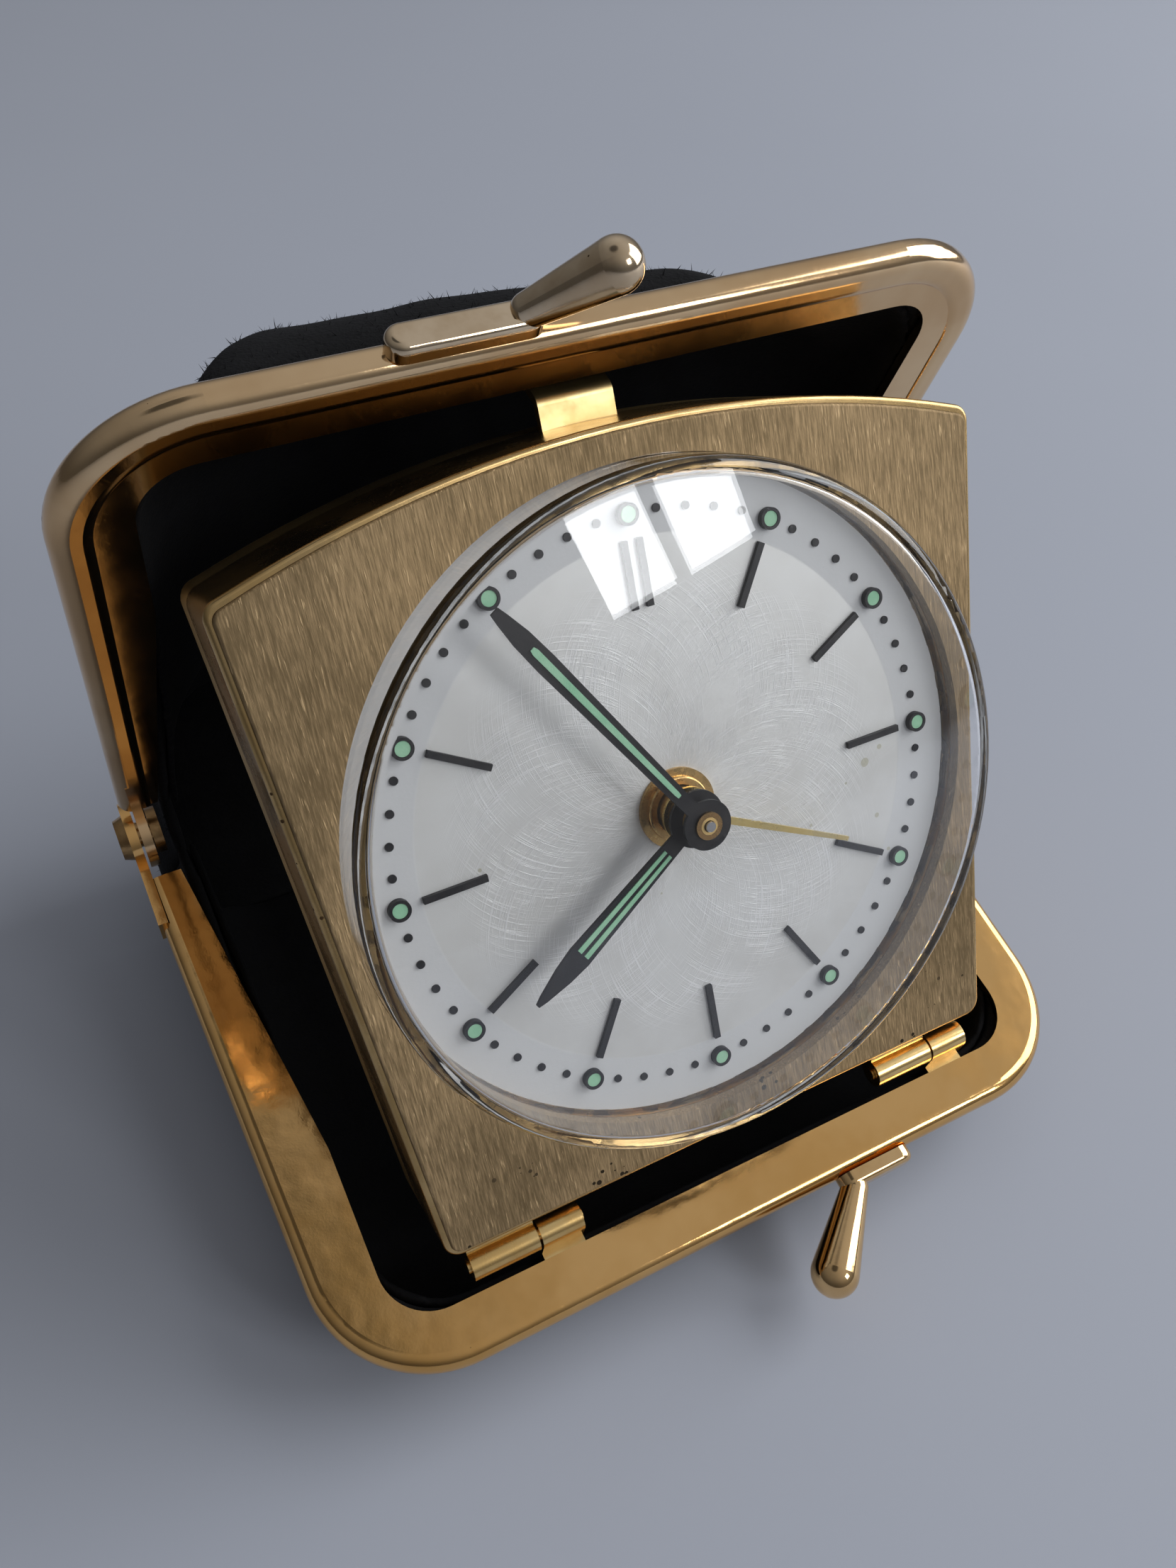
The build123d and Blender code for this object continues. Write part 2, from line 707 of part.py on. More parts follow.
with BuildPart() as hour_bars:
    with BuildSketch(dial_plane):
        bar_middle_radius = (bar_inner_radius + bar_outer_radius) / 2
        bar_length = bar_outer_radius - bar_inner_radius
        for hour in range(1, 12):
            with Locations(Location((*at_hour(bar_middle_radius, 30 * hour), 0), (0, 0, -30 * hour))):
                Rectangle(hour_bar_width, bar_length)
        with Locations((-twin_bar_spread, bar_middle_radius), (twin_bar_spread, bar_middle_radius)):
            Rectangle(hour_bar_width, bar_length)
    extrude(amount=hour_bar_height)
finish(hour_bars, "hour_bars")

with BuildPart() as hour_dot_rings:
    with BuildSketch(dial_plane):
        with PolarLocations(dot_circle, 12):
            Circle(hour_dot_radius)
            Circle(lume_radius + fixed_clearance, mode=Mode.SUBTRACT)
    extrude(amount=hour_dot_height)
finish(hour_dot_rings, "hour_dot_rings")

with BuildPart() as lume_dots:
    with BuildSketch(dial_plane):
        with PolarLocations(dot_circle, 12):
            Circle(lume_radius)
    extrude(amount=lume_height)
finish(lume_dots, "lume_dots")

with BuildPart() as minute_dots:
    with BuildSketch(dial_plane):
        for minute in range(60):
            if minute % 5:
                with Locations(at_hour(dot_circle, 6 * minute)):
                    Circle(minute_dot_radius)
    extrude(amount=minute_dot_height)
finish(minute_dots, "minute_dots")

with BuildPart() as centre_collet:
    with BuildSketch(dial_plane):
        Circle(collet_radius)
    extrude(amount=collet_flange)
    with BuildSketch(dial_plane.offset(collet_flange)):
        Circle(collet_ring_radius)
    extrude(amount=collet_height - collet_flange)
    fillet(centre_collet.edges().group_by(dial_levels)[-1], collet_flange / 2)
    with BuildSketch(dial_plane):
        Circle(alarm_tube_radius + 3 * pivot_clearance)
    extrude(amount=collet_height, mode=Mode.SUBTRACT)
finish(centre_collet, "centre_collet")


# Hands: outlines run along +Y of a plane turned to where the hand points
def hand_plane(angle, level):
    """Plane on the dial's axis whose y axis points to an angle clockwise from twelve."""
    swing = radians(angle)
    sideways = dial_plane.x_dir * cos(swing) - dial_plane.y_dir * sin(swing)
    return Plane(origin=dial_plane.origin, x_dir=sideways, z_dir=dial_plane.z_dir).offset(level)


def blade(half_widths):
    """A hand's blade through pairs of distance from the middle and half width."""
    right = [(half, along) for along, half in half_widths]
    left = [(-half, along) for along, half in reversed(half_widths)]
    Polygon(*right, *left, align=None)


minute_shoulder = 0.78 * minute_length
minute_hub_radius = cannon_tube_radius + 1.12
minute_point = 2.2
minute_tip = 0.7
minute_stripe_start = minute_hub_radius + 1.38
minute_stripe_end = minute_length - 3.2
with BuildPart() as minute_hand:
    with BuildSketch(hand_plane(minute_angle, minute_hand_level)):
        Circle(minute_hub_radius)
        blade([(0, 0.5), (minute_hub_radius, 0.5), (minute_shoulder, 0.68),
               (minute_shoulder + minute_point, 0.62), (minute_length - minute_tip, 0.42), (minute_length, 0.3)])
        Circle(cannon_tube_radius + fixed_clearance, mode=Mode.SUBTRACT)
    extrude(amount=hand_thickness)
finish(minute_hand, "minute_hand")

with BuildPart() as minute_hand_lume:
    with BuildSketch(hand_plane(minute_angle, minute_hand_level + hand_thickness)):
        blade([(minute_stripe_start, 0.13), (minute_stripe_start + 0.3, 0.17),
               (minute_stripe_end - 0.3, 0.23), (minute_stripe_end, 0.15)])
    extrude(amount=hand_lume_thickness)
finish(minute_hand_lume, "minute_hand_lume")

hour_shoulder = 0.74 * hour_length
hour_hub_radius = hour_tube_radius + 0.9
hour_point = 1.6
hour_tip = 0.6
hour_stripe_start = hour_hub_radius + 1.0
hour_stripe_end = hour_shoulder - 0.24
with BuildPart() as hour_hand:
    with BuildSketch(hand_plane(hour_angle, hour_hand_level)):
        Circle(hour_hub_radius)
        blade([(0, 0.55), (hour_hub_radius, 0.6), (hour_shoulder, 0.9),
               (hour_shoulder + hour_point, 0.72), (hour_length - hour_tip, 0.3), (hour_length, 0.1)])
        Circle(hour_tube_radius + fixed_clearance, mode=Mode.SUBTRACT)
    extrude(amount=hand_thickness)
finish(hour_hand, "hour_hand")

with BuildPart() as hour_hand_lume:
    with BuildSketch(hand_plane(hour_angle, hour_hand_level + hand_thickness)):
        for stripe in (-1, 1):
            inner = [(0.12 * stripe, hour_stripe_start), (0.15 * stripe, hour_stripe_end)]
            outer = [(0.52 * stripe, hour_stripe_end), (0.38 * stripe, hour_stripe_start)]
            Polygon(*inner, *outer, align=None)
    extrude(amount=hand_lume_thickness)
finish(hour_hand_lume, "hour_hand_lume")

with BuildPart() as alarm_hand:
    with BuildSketch(hand_plane(alarm_angle, alarm_hand_level)):
        Circle(alarm_tube_radius + pivot_clearance + hand_thickness)
        blade([(0, 0.28), (alarm_tube_radius, 0.28), (alarm_length, 0.16)])
        Circle(alarm_tube_radius + fixed_clearance, mode=Mode.SUBTRACT)
    extrude(amount=hand_thickness)
finish(alarm_hand, "alarm_hand")

with BuildPart() as hand_nut:
    with BuildSketch(dial_plane.offset(minute_hand_level + hand_thickness)):
        Circle(hand_nut_radius)
        Circle(cannon_tube_radius + fixed_clearance, mode=Mode.SUBTRACT)
    extrude(amount=hand_nut_height)
finish(hand_nut, "hand_nut")


# Movement
def disc(place, radius, low, high):
    """A round bar along the dial's axis between two levels."""
    with BuildSketch(dial_plane.offset(low)) as end:
        with Locations(place):
            Circle(radius)
    extrude(end.sketch, amount=high - low)


def bore(place, radius, low, high):
    """A round hole along the dial's axis between two levels."""
    with BuildSketch(dial_plane.offset(low)) as end:
        with Locations(place):
            Circle(radius)
    extrude(end.sketch, amount=high - low, mode=Mode.SUBTRACT)


def toothed(place, teeth, tip_radius, low, thickness):
    """A wheel with pointed teeth, from a level forwards."""
    tooth_height = 0.8 * pi * tip_radius / teeth
    points = []
    for tooth in range(teeth):
        points.append(polar(tip_radius, 360 * tooth / teeth))
        points.append(polar(tip_radius - tooth_height, 360 * (tooth + 0.5) / teeth))
    with BuildSketch(dial_plane.offset(low)) as wheel_face:
        with Locations(place):
            Polygon(*points, align=None)
    extrude(wheel_face.sketch, amount=thickness)


plate_pivots = [
    (centre_place, centre_arbor_radius), (minute_stem_place, stem_radius), (alarm_stem_place, stem_radius),
    (third_place, train_arbor_radius), (fourth_place, train_arbor_radius),
    (escape_place, train_arbor_radius), (pallet_place, train_arbor_radius),
    (balance_place, train_arbor_radius), (time_barrel_place, winding_arbor_radius),
    (alarm_barrel_place, winding_arbor_radius), (hammer_place, train_arbor_radius),
]

with BuildPart() as dial_spacer:
    with BuildSketch(dial_plane.offset(front_plate_face)):
        Circle(movement_plate_radius)
        Circle(movement_plate_radius - spacer_width, mode=Mode.SUBTRACT)
    extrude(amount=motion_space)
finish(dial_spacer, "dial_spacer")

with BuildPart() as front_plate:
    disc(centre_place, movement_plate_radius, front_plate_back, front_plate_face)
    for place, radius in plate_pivots:
        bore(place, radius + pivot_clearance, front_plate_back, front_plate_face)
finish(front_plate, "front_plate")

regulator_level = rear_plate_back - wheel_thickness - pivot_clearance
with BuildPart() as rear_plate:
    disc(centre_place, movement_plate_radius, rear_plate_back, rear_plate_face)
    for place, radius in plate_pivots:
        bore(place, radius + pivot_clearance, rear_plate_back, rear_plate_face)
    for place in pillar_places:
        bore(place, pillar_radius + fixed_clearance, rear_plate_back, rear_plate_face)
    disc(balance_place, 2 * stem_radius, regulator_level, rear_plate_back)
finish(rear_plate, "rear_plate")

screw_end = rear_plate_face
with BuildPart() as plate_pillars:
    for place in pillar_places:
        disc(place, pillar_radius, cover_inside, front_plate_back)
        bore(place, screw_radius + fixed_clearance, cover_inside, screw_end)
finish(plate_pillars, "plate_pillars")

# Centre arbor with its pinion and wheel, and the cannon pinion that slips on it and carries the minute hand
centre_wheel_low = front_plate_back - 2 * wheel_thickness
cannon_low = front_plate_face + 2 * pivot_clearance
cannon_radius = motion_distance * cannon_teeth / (cannon_teeth + minute_wheel_teeth)
cannon_top = minute_hand_level + hand_thickness + hand_nut_height
arbor_tip = cannon_top + hand_nut_height
barrel_low = rear_plate_face + hand_nut_height
with BuildPart() as centre_arbor:
    disc(centre_place, centre_arbor_radius, rear_plate_back + 2 * pivot_clearance, arbor_tip)
    toothed(centre_place, centre_pinion_teeth, centre_pinion_radius, barrel_low, pinion_thickness)
    toothed(centre_place, centre_teeth, centre_module * centre_teeth / 2 - tooth_gap,
            centre_wheel_low, wheel_thickness)
finish(centre_arbor, "centre_arbor")

with BuildPart() as cannon_pinion:
    disc(centre_place, cannon_tube_radius, cannon_low, cannon_top)
    toothed(centre_place, cannon_teeth, cannon_radius - tooth_gap, cannon_low, wheel_thickness)
    bore(centre_place, centre_arbor_radius + pivot_clearance, cannon_low, cannon_top)
finish(cannon_pinion, "cannon_pinion")

# Motion work behind the dial: minute wheel on its setting stem, hour wheel and alarm wheel on tubes
minute_wheel_radius = motion_distance - cannon_radius
minute_pinion_radius = motion_distance * minute_pinion_teeth / (minute_pinion_teeth + hour_wheel_teeth)
hour_wheel_low = cannon_low + wheel_thickness + 3 * pivot_clearance
alarm_wheel_low = hour_wheel_low + 2 * wheel_thickness
stem_back = knob_level - knob_height / 2
with BuildPart() as minute_wheel:
    toothed(minute_stem_place, minute_wheel_teeth, minute_wheel_radius - tooth_gap, cannon_low, wheel_thickness)
    toothed(minute_stem_place, minute_pinion_teeth, minute_pinion_radius - tooth_gap,
            hour_wheel_low - pivot_clearance, wheel_thickness + 2 * pivot_clearance)
    disc(minute_stem_place, stem_radius, stem_back, hour_wheel_low + wheel_thickness + pivot_clearance)
finish(minute_wheel, "minute_wheel")

with BuildPart() as hour_wheel:
    disc(centre_place, hour_tube_radius, hour_wheel_low, hour_hand_level + hand_thickness)
    toothed(centre_place, hour_wheel_teeth, motion_distance - minute_pinion_radius - tooth_gap,
            hour_wheel_low, wheel_thickness)
    bore(centre_place, cannon_tube_radius + pivot_clearance, hour_wheel_low, arbor_tip)
finish(hour_wheel, "hour_wheel")

alarm_pinion_radius = alarm_distance * alarm_pinion_teeth / (alarm_pinion_teeth + alarm_wheel_teeth)
with BuildPart() as alarm_wheel:
    disc(centre_place, alarm_tube_radius, alarm_wheel_low, alarm_hand_level + hand_thickness)
    toothed(centre_place, alarm_wheel_teeth, alarm_distance - alarm_pinion_radius - tooth_gap,
            alarm_wheel_low, wheel_thickness)
    bore(centre_place, hour_tube_radius + pivot_clearance, alarm_wheel_low, arbor_tip)
finish(alarm_wheel, "alarm_wheel")

with BuildPart() as alarm_stem:
    disc(alarm_stem_place, stem_radius, stem_back, alarm_wheel_low + wheel_thickness)
    toothed(alarm_stem_place, alarm_pinion_teeth, alarm_pinion_radius - tooth_gap,
            alarm_wheel_low, wheel_thickness)
finish(alarm_stem, "alarm_stem")


# Going train
def train_wheel(place, teeth, module, wheel_low, pinion_radius, pinion_low):
    """A train wheel and its pinion on an arbor that runs in both plates."""
    with BuildPart() as wheel:
        disc(place, train_arbor_radius, rear_plate_back + 2 * pivot_clearance,
             front_plate_face - 2 * pivot_clearance)
        toothed(place, teeth, module * teeth / 2 - tooth_gap, wheel_low, wheel_thickness)
        toothed(place, train_pinion_teeth, pinion_radius, pinion_low, pinion_thickness)
    return wheel


def pinion_tip(module):
    """Tip radius of a train pinion that runs with a wheel of this module."""
    return module * train_pinion_teeth / 2 - tooth_gap / 2


level_step = 2 * wheel_thickness + pivot_clearance
third_wheel_low = centre_wheel_low - level_step
fourth_wheel_low = third_wheel_low - level_step
escape_wheel_low = fourth_wheel_low - level_step
pinion_overhang = (pinion_thickness - wheel_thickness) / 2

third_wheel = train_wheel(third_place, third_teeth, third_module, third_wheel_low,
                          pinion_tip(centre_module), centre_wheel_low - pinion_overhang)
finish(third_wheel, "third_wheel")

fourth_wheel = train_wheel(fourth_place, fourth_teeth, fourth_module, fourth_wheel_low,
                           pinion_tip(third_module), third_wheel_low - pinion_overhang)
finish(fourth_wheel, "fourth_wheel")

escape_wheel = train_wheel(escape_place, escape_teeth, 2 * (escape_radius + tooth_gap) / escape_teeth,
                           escape_wheel_low, pinion_tip(fourth_module), fourth_wheel_low - pinion_overhang)
finish(escape_wheel, "escape_wheel")

pallet_span = 3.6
pallet_width = 0.6
fork_length = 3.5
with BuildPart() as pallet_lever:
    disc(pallet_place, train_arbor_radius, rear_plate_back + 2 * pivot_clearance,
         front_plate_face - 2 * pivot_clearance)
    with BuildSketch(dial_plane.offset(escape_wheel_low)):
        with Locations(Location((*pallet_place, 0), (0, 0, pallet_bearing + 90))):
            SlotOverall(pallet_span, pallet_width)
        with Locations(Location((*polar(fork_length / 2, balance_bearing, pallet_place), 0),
                                (0, 0, balance_bearing))):
            SlotOverall(fork_length + pallet_width, pallet_width)
    extrude(amount=wheel_thickness)
finish(pallet_lever, "pallet_lever")

balance_low = third_wheel_low - wheel_thickness
with BuildPart() as balance_wheel:
    disc(balance_place, train_arbor_radius, rear_plate_back + 2 * pivot_clearance,
         front_plate_face - 2 * pivot_clearance)
    with BuildSketch(dial_plane.offset(balance_low)):
        with Locations(balance_place):
            Circle(balance_radius)
            Circle(balance_radius - balance_rim, mode=Mode.SUBTRACT)
            Rectangle(2 * balance_radius - balance_rim, balance_rim)
            Circle(balance_rim)
    extrude(amount=wheel_thickness)
finish(balance_wheel, "balance_wheel")


def spiral(place, inner, pitch, turns, strip):
    """A flat spiral of half-circle arcs, each a quarter pitch wider than the last."""
    start = (place[0] + inner, place[1])
    with BuildLine() as coil:
        for half in range(2 * turns):
            radius = inner + pitch * (half + 0.5) / 2
            way = -1 if half % 2 else 1
            end = (start[0] - 2 * radius * way, start[1])
            top = ((start[0] + end[0]) / 2, start[1] + radius * way)
            ThreePointArc(start, top, end)
            start = end
    trace(coil.line, line_width=strip)


hairspring_start = train_arbor_radius + 2 * hairspring_strip
hairspring_turns = int((hairspring_radius - hairspring_start) / hairspring_pitch)
with BuildPart() as hairspring:
    with BuildSketch(dial_plane.offset(balance_low + wheel_thickness + 2 * pivot_clearance)):
        spiral(balance_place, hairspring_start, hairspring_pitch, hairspring_turns, hairspring_strip)
    extrude(amount=wheel_thickness)
finish(hairspring, "hairspring")


# Barrels, their mainsprings and winding arbors
def barrel(place, tip_radius):
    """A closed drum with a toothed edge, hollow for its spring."""
    drum_radius = tip_radius - barrel_wall
    with BuildPart() as drum:
        disc(place, drum_radius, barrel_low, barrel_low + barrel_depth)
        toothed(place, barrel_teeth, tip_radius, barrel_low, pinion_thickness)
        inside = drum_radius - barrel_wall
        with BuildSketch(dial_plane.offset(barrel_low + barrel_wall)):
            with Locations(place):
                Circle(inside)
        extrude(amount=barrel_depth - 2 * barrel_wall, mode=Mode.SUBTRACT)
        bore(place, winding_arbor_radius + pivot_clearance, barrel_low, barrel_low + barrel_depth)
    return drum


def mainspring(place, tip_radius):
    """The strip wound inside a barrel."""
    inner = winding_arbor_radius + mainspring_strip
    outer = tip_radius - 2 * barrel_wall - 2 * mainspring_strip
    turns = int((outer - inner) / mainspring_pitch)
    with BuildPart() as spring:
        with BuildSketch(dial_plane.offset(barrel_low + barrel_wall + pivot_clearance)):
            spiral(place, inner, mainspring_pitch, turns, mainspring_strip)
        extrude(amount=barrel_depth - 2 * barrel_wall - 2 * pivot_clearance)
    return spring


def winding_arbor(place):
    """The arbor from the front plate through the barrel and the back cover to its key."""
    with BuildPart() as arbor:
        disc(place, winding_arbor_radius, knob_level - key_thickness / 2,
             front_plate_face - 2 * pivot_clearance)
    return arbor


time_barrel = barrel(time_barrel_place, time_barrel_radius)
finish(time_barrel, "time_barrel")
time_mainspring = mainspring(time_barrel_place, time_barrel_radius)
finish(time_mainspring, "time_mainspring")
time_winding_arbor = winding_arbor(time_barrel_place)
finish(time_winding_arbor, "time_winding_arbor")

alarm_barrel = barrel(alarm_barrel_place, alarm_barrel_radius)
finish(alarm_barrel, "alarm_barrel")
alarm_mainspring = mainspring(alarm_barrel_place, alarm_barrel_radius)
finish(alarm_mainspring, "alarm_mainspring")
alarm_winding_arbor = winding_arbor(alarm_barrel_place)
finish(alarm_winding_arbor, "alarm_winding_arbor")

# Alarm hammer
hammer_head_radius = 1.2
hammer_low = fourth_wheel_low
with BuildPart() as alarm_hammer:
    disc(hammer_place, train_arbor_radius, rear_plate_back + 2 * pivot_clearance,
         front_plate_face - 2 * pivot_clearance)
    with BuildSketch(dial_plane.offset(hammer_low)):
        with Locations(Location((*polar(hammer_reach / 2, hammer_bearing, hammer_place), 0),
                                (0, 0, hammer_bearing))):
            SlotOverall(hammer_reach + pallet_width, pallet_width)
        with Locations(polar(hammer_reach, hammer_bearing, hammer_place)):
            Circle(hammer_head_radius)
    extrude(amount=2 * wheel_thickness)
finish(alarm_hammer, "alarm_hammer")

# Back cover: a dish with rounded edges, bored for the arbors, stems, screws and levers
regulator_slot = 2 * regulator_reach * sin(radians(regulator_swing)) + 4 * stem_radius
stop_stem = 0.8
with BuildPart() as back_cover:
    with BuildSketch(dial_plane.offset(cover_back)) as cover_face:
        make_face(face_outline(rim_width))
        fillet(cover_face.vertices(), plate_corner + rim_width)
    extrude(amount=case_back - cover_back)
    fillet(back_cover.faces().sort_by(dial_levels)[0].edges(), min(cover_round, plate_corner + rim_width - 0.1))
    offset(amount=-cover_wall, openings=back_cover.faces().sort_by(dial_levels)[-1])
    for place in (time_barrel_place, alarm_barrel_place):
        bore(place, winding_arbor_radius + back_clearance / 2, cover_back, cover_inside)
    for place in (minute_stem_place, alarm_stem_place):
        bore(place, stem_radius + back_clearance / 2, cover_back, cover_inside)
    for place in pillar_places:
        bore(place, screw_radius + fixed_clearance, cover_back, cover_inside)
    with BuildSketch(dial_plane.offset(cover_back)):
        with Locations((balance_place[0] + regulator_reach, balance_place[1])):
            Rectangle(5 * stem_radius, regulator_slot)
        with Locations(stop_place):
            Rectangle(stop_stem + 2 * stop_travel + 2 * pivot_clearance, stop_stem + 2 * pivot_clearance)
    extrude(amount=cover_wall, mode=Mode.SUBTRACT)
finish(back_cover, "back_cover")

with BuildPart() as case_screws:
    for place in pillar_places:
        disc(place, screw_radius, cover_back, screw_end)
        disc(place, screw_head_radius, cover_back - screw_head, cover_back)
        with BuildSketch(dial_plane.offset(cover_back - screw_head)):
            with Locations(place):
                Rectangle(2 * screw_head_radius, screw_head)
        extrude(amount=screw_head / 2, mode=Mode.SUBTRACT)
finish(case_screws, "case_screws")


# Keys, knobs, stop slide and regulator
def winding_key(place):
    """A flat bar key on a winding arbor."""
    with BuildPart() as key:
        with BuildSketch(dial_plane.offset(knob_level - key_thickness)):
            with Locations(place):
                SlotOverall(key_length, key_width)
                Circle(key_width * 0.7)
        extrude(amount=key_thickness)
        bore(place, winding_arbor_radius + fixed_clearance, knob_level - key_thickness / 2, knob_level)
    return key


def setting_knob(place):
    """A ribbed knob on a setting stem."""
    with BuildPart() as knob:
        toothed(place, knob_ribs, knob_radius, knob_level - knob_height, knob_height)
        bore(place, stem_radius + fixed_clearance, stem_back, knob_level)
    return knob


time_key = winding_key(time_barrel_place)
finish(time_key, "time_key")
alarm_key = winding_key(alarm_barrel_place)
finish(alarm_key, "alarm_key")
time_knob = setting_knob(minute_stem_place)
finish(time_knob, "time_knob")
alarm_knob = setting_knob(alarm_stem_place)
finish(alarm_knob, "alarm_knob")

with BuildPart() as alarm_stop:
    with BuildSketch(dial_plane.offset(cover_back - pivot_clearance - stop_stem)) as button:
        with Locations(stop_place):
            RectangleRounded(stop_length, stop_width, stop_stem / 2)
    extrude(amount=stop_stem)
    with BuildSketch(dial_plane.offset(cover_back - pivot_clearance)):
        with Locations(stop_place):
            Rectangle(stop_stem, stop_stem)
    extrude(amount=cover_wall + 2 * pivot_clearance)
    with BuildSketch(dial_plane.offset(cover_inside + pivot_clearance)):
        with Locations(stop_place):
            Rectangle(stop_length, stop_width)
    extrude(amount=wheel_thickness)
finish(alarm_stop, "alarm_stop")

with BuildPart() as regulator:
    with BuildSketch(dial_plane.offset(regulator_level)):
        with Locations((balance_place[0] + regulator_reach / 2, balance_place[1])):
            SlotOverall(regulator_reach + 2 * stem_radius, 2 * stem_radius)
        with Locations(balance_place):
            Circle(4 * stem_radius)
            Circle(2 * stem_radius + pivot_clearance, mode=Mode.SUBTRACT)
    extrude(amount=wheel_thickness)
    disc((balance_place[0] + regulator_reach, balance_place[1]), stem_radius,
         cover_back - stem_radius, regulator_level)
finish(regulator, "regulator")
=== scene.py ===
"""Looks of a folding travel alarm clock that stands in its kiss-lock purse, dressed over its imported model."""

from __future__ import annotations

import json
import logging
import math
from dataclasses import dataclass
from enum import Enum
from typing import Any, Callable, Iterable, Sequence, Union

import bpy
import numpy as np
from mathutils import Matrix, Vector

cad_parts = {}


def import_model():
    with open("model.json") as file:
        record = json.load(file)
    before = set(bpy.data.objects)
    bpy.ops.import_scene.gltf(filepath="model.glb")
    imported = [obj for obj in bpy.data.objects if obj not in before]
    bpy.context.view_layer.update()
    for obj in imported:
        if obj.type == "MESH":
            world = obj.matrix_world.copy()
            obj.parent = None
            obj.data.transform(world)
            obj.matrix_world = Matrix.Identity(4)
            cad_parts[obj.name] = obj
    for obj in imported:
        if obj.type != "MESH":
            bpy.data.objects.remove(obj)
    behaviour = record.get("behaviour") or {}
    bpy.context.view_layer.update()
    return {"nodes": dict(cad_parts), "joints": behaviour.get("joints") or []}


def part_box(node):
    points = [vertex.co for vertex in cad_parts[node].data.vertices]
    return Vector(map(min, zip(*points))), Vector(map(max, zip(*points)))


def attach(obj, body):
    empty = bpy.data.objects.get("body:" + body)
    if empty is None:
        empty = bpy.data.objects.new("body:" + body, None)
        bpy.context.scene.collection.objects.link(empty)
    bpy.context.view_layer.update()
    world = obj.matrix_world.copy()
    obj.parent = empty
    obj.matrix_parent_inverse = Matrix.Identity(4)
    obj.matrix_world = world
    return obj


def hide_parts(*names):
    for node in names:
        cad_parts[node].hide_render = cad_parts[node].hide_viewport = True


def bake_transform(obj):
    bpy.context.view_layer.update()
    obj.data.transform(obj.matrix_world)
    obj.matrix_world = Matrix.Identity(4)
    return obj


LOG = logging.getLogger("travel_clock")
LAMP_COLOUR = (0.96, 0.98, 1.0)
LOWER_TILT = 10.0
WAVE_TURN = 1.7
TINY = 1e-6

Colour = tuple[float, float, float]
Input = Union[float, Sequence[float], bpy.types.NodeSocket]


class Body(str, Enum):
    """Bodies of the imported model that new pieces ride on."""

    BASE = "base"
    LID = "lid"


class Slot(str, Enum):
    """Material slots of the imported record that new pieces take."""

    SUEDE = "suede"
    LINING = "lining_cloth"


@dataclass(frozen=True)
class Shades:
    """Steps of a colour ramp, each a place from 0 to 1 with its colour."""

    stops: tuple[tuple[float, Colour], ...]


class NodeTree:
    """A node tree with short calls that add and join its nodes."""

    def __init__(self, tree: bpy.types.NodeTree) -> None:
        """Keep the tree that the calls write to."""
        self.tree = tree

    def add(self, kind: str, **settings: Any) -> bpy.types.Node:
        """Add one node of a Blender type and set its options."""
        node = self.tree.nodes.new(kind)
        for name, value in settings.items():
            setattr(node, name, value)
        return node

    def feed(self, socket: bpy.types.NodeSocket, value: Input) -> None:
        """Link a socket's value, or write it on the socket when it is constant."""
        if isinstance(value, bpy.types.NodeSocket):
            self.tree.links.new(value, socket)
        else:
            socket.default_value = value

    def fed(self, kind: str, feeds: dict[Any, Any], **settings: Any) -> bpy.types.Node:
        """Add one node, set its options, and link or write its inputs by name or number."""
        node = self.add(kind, **settings)
        for key, value in feeds.items():
            self.feed(node.inputs[key], value)
        return node


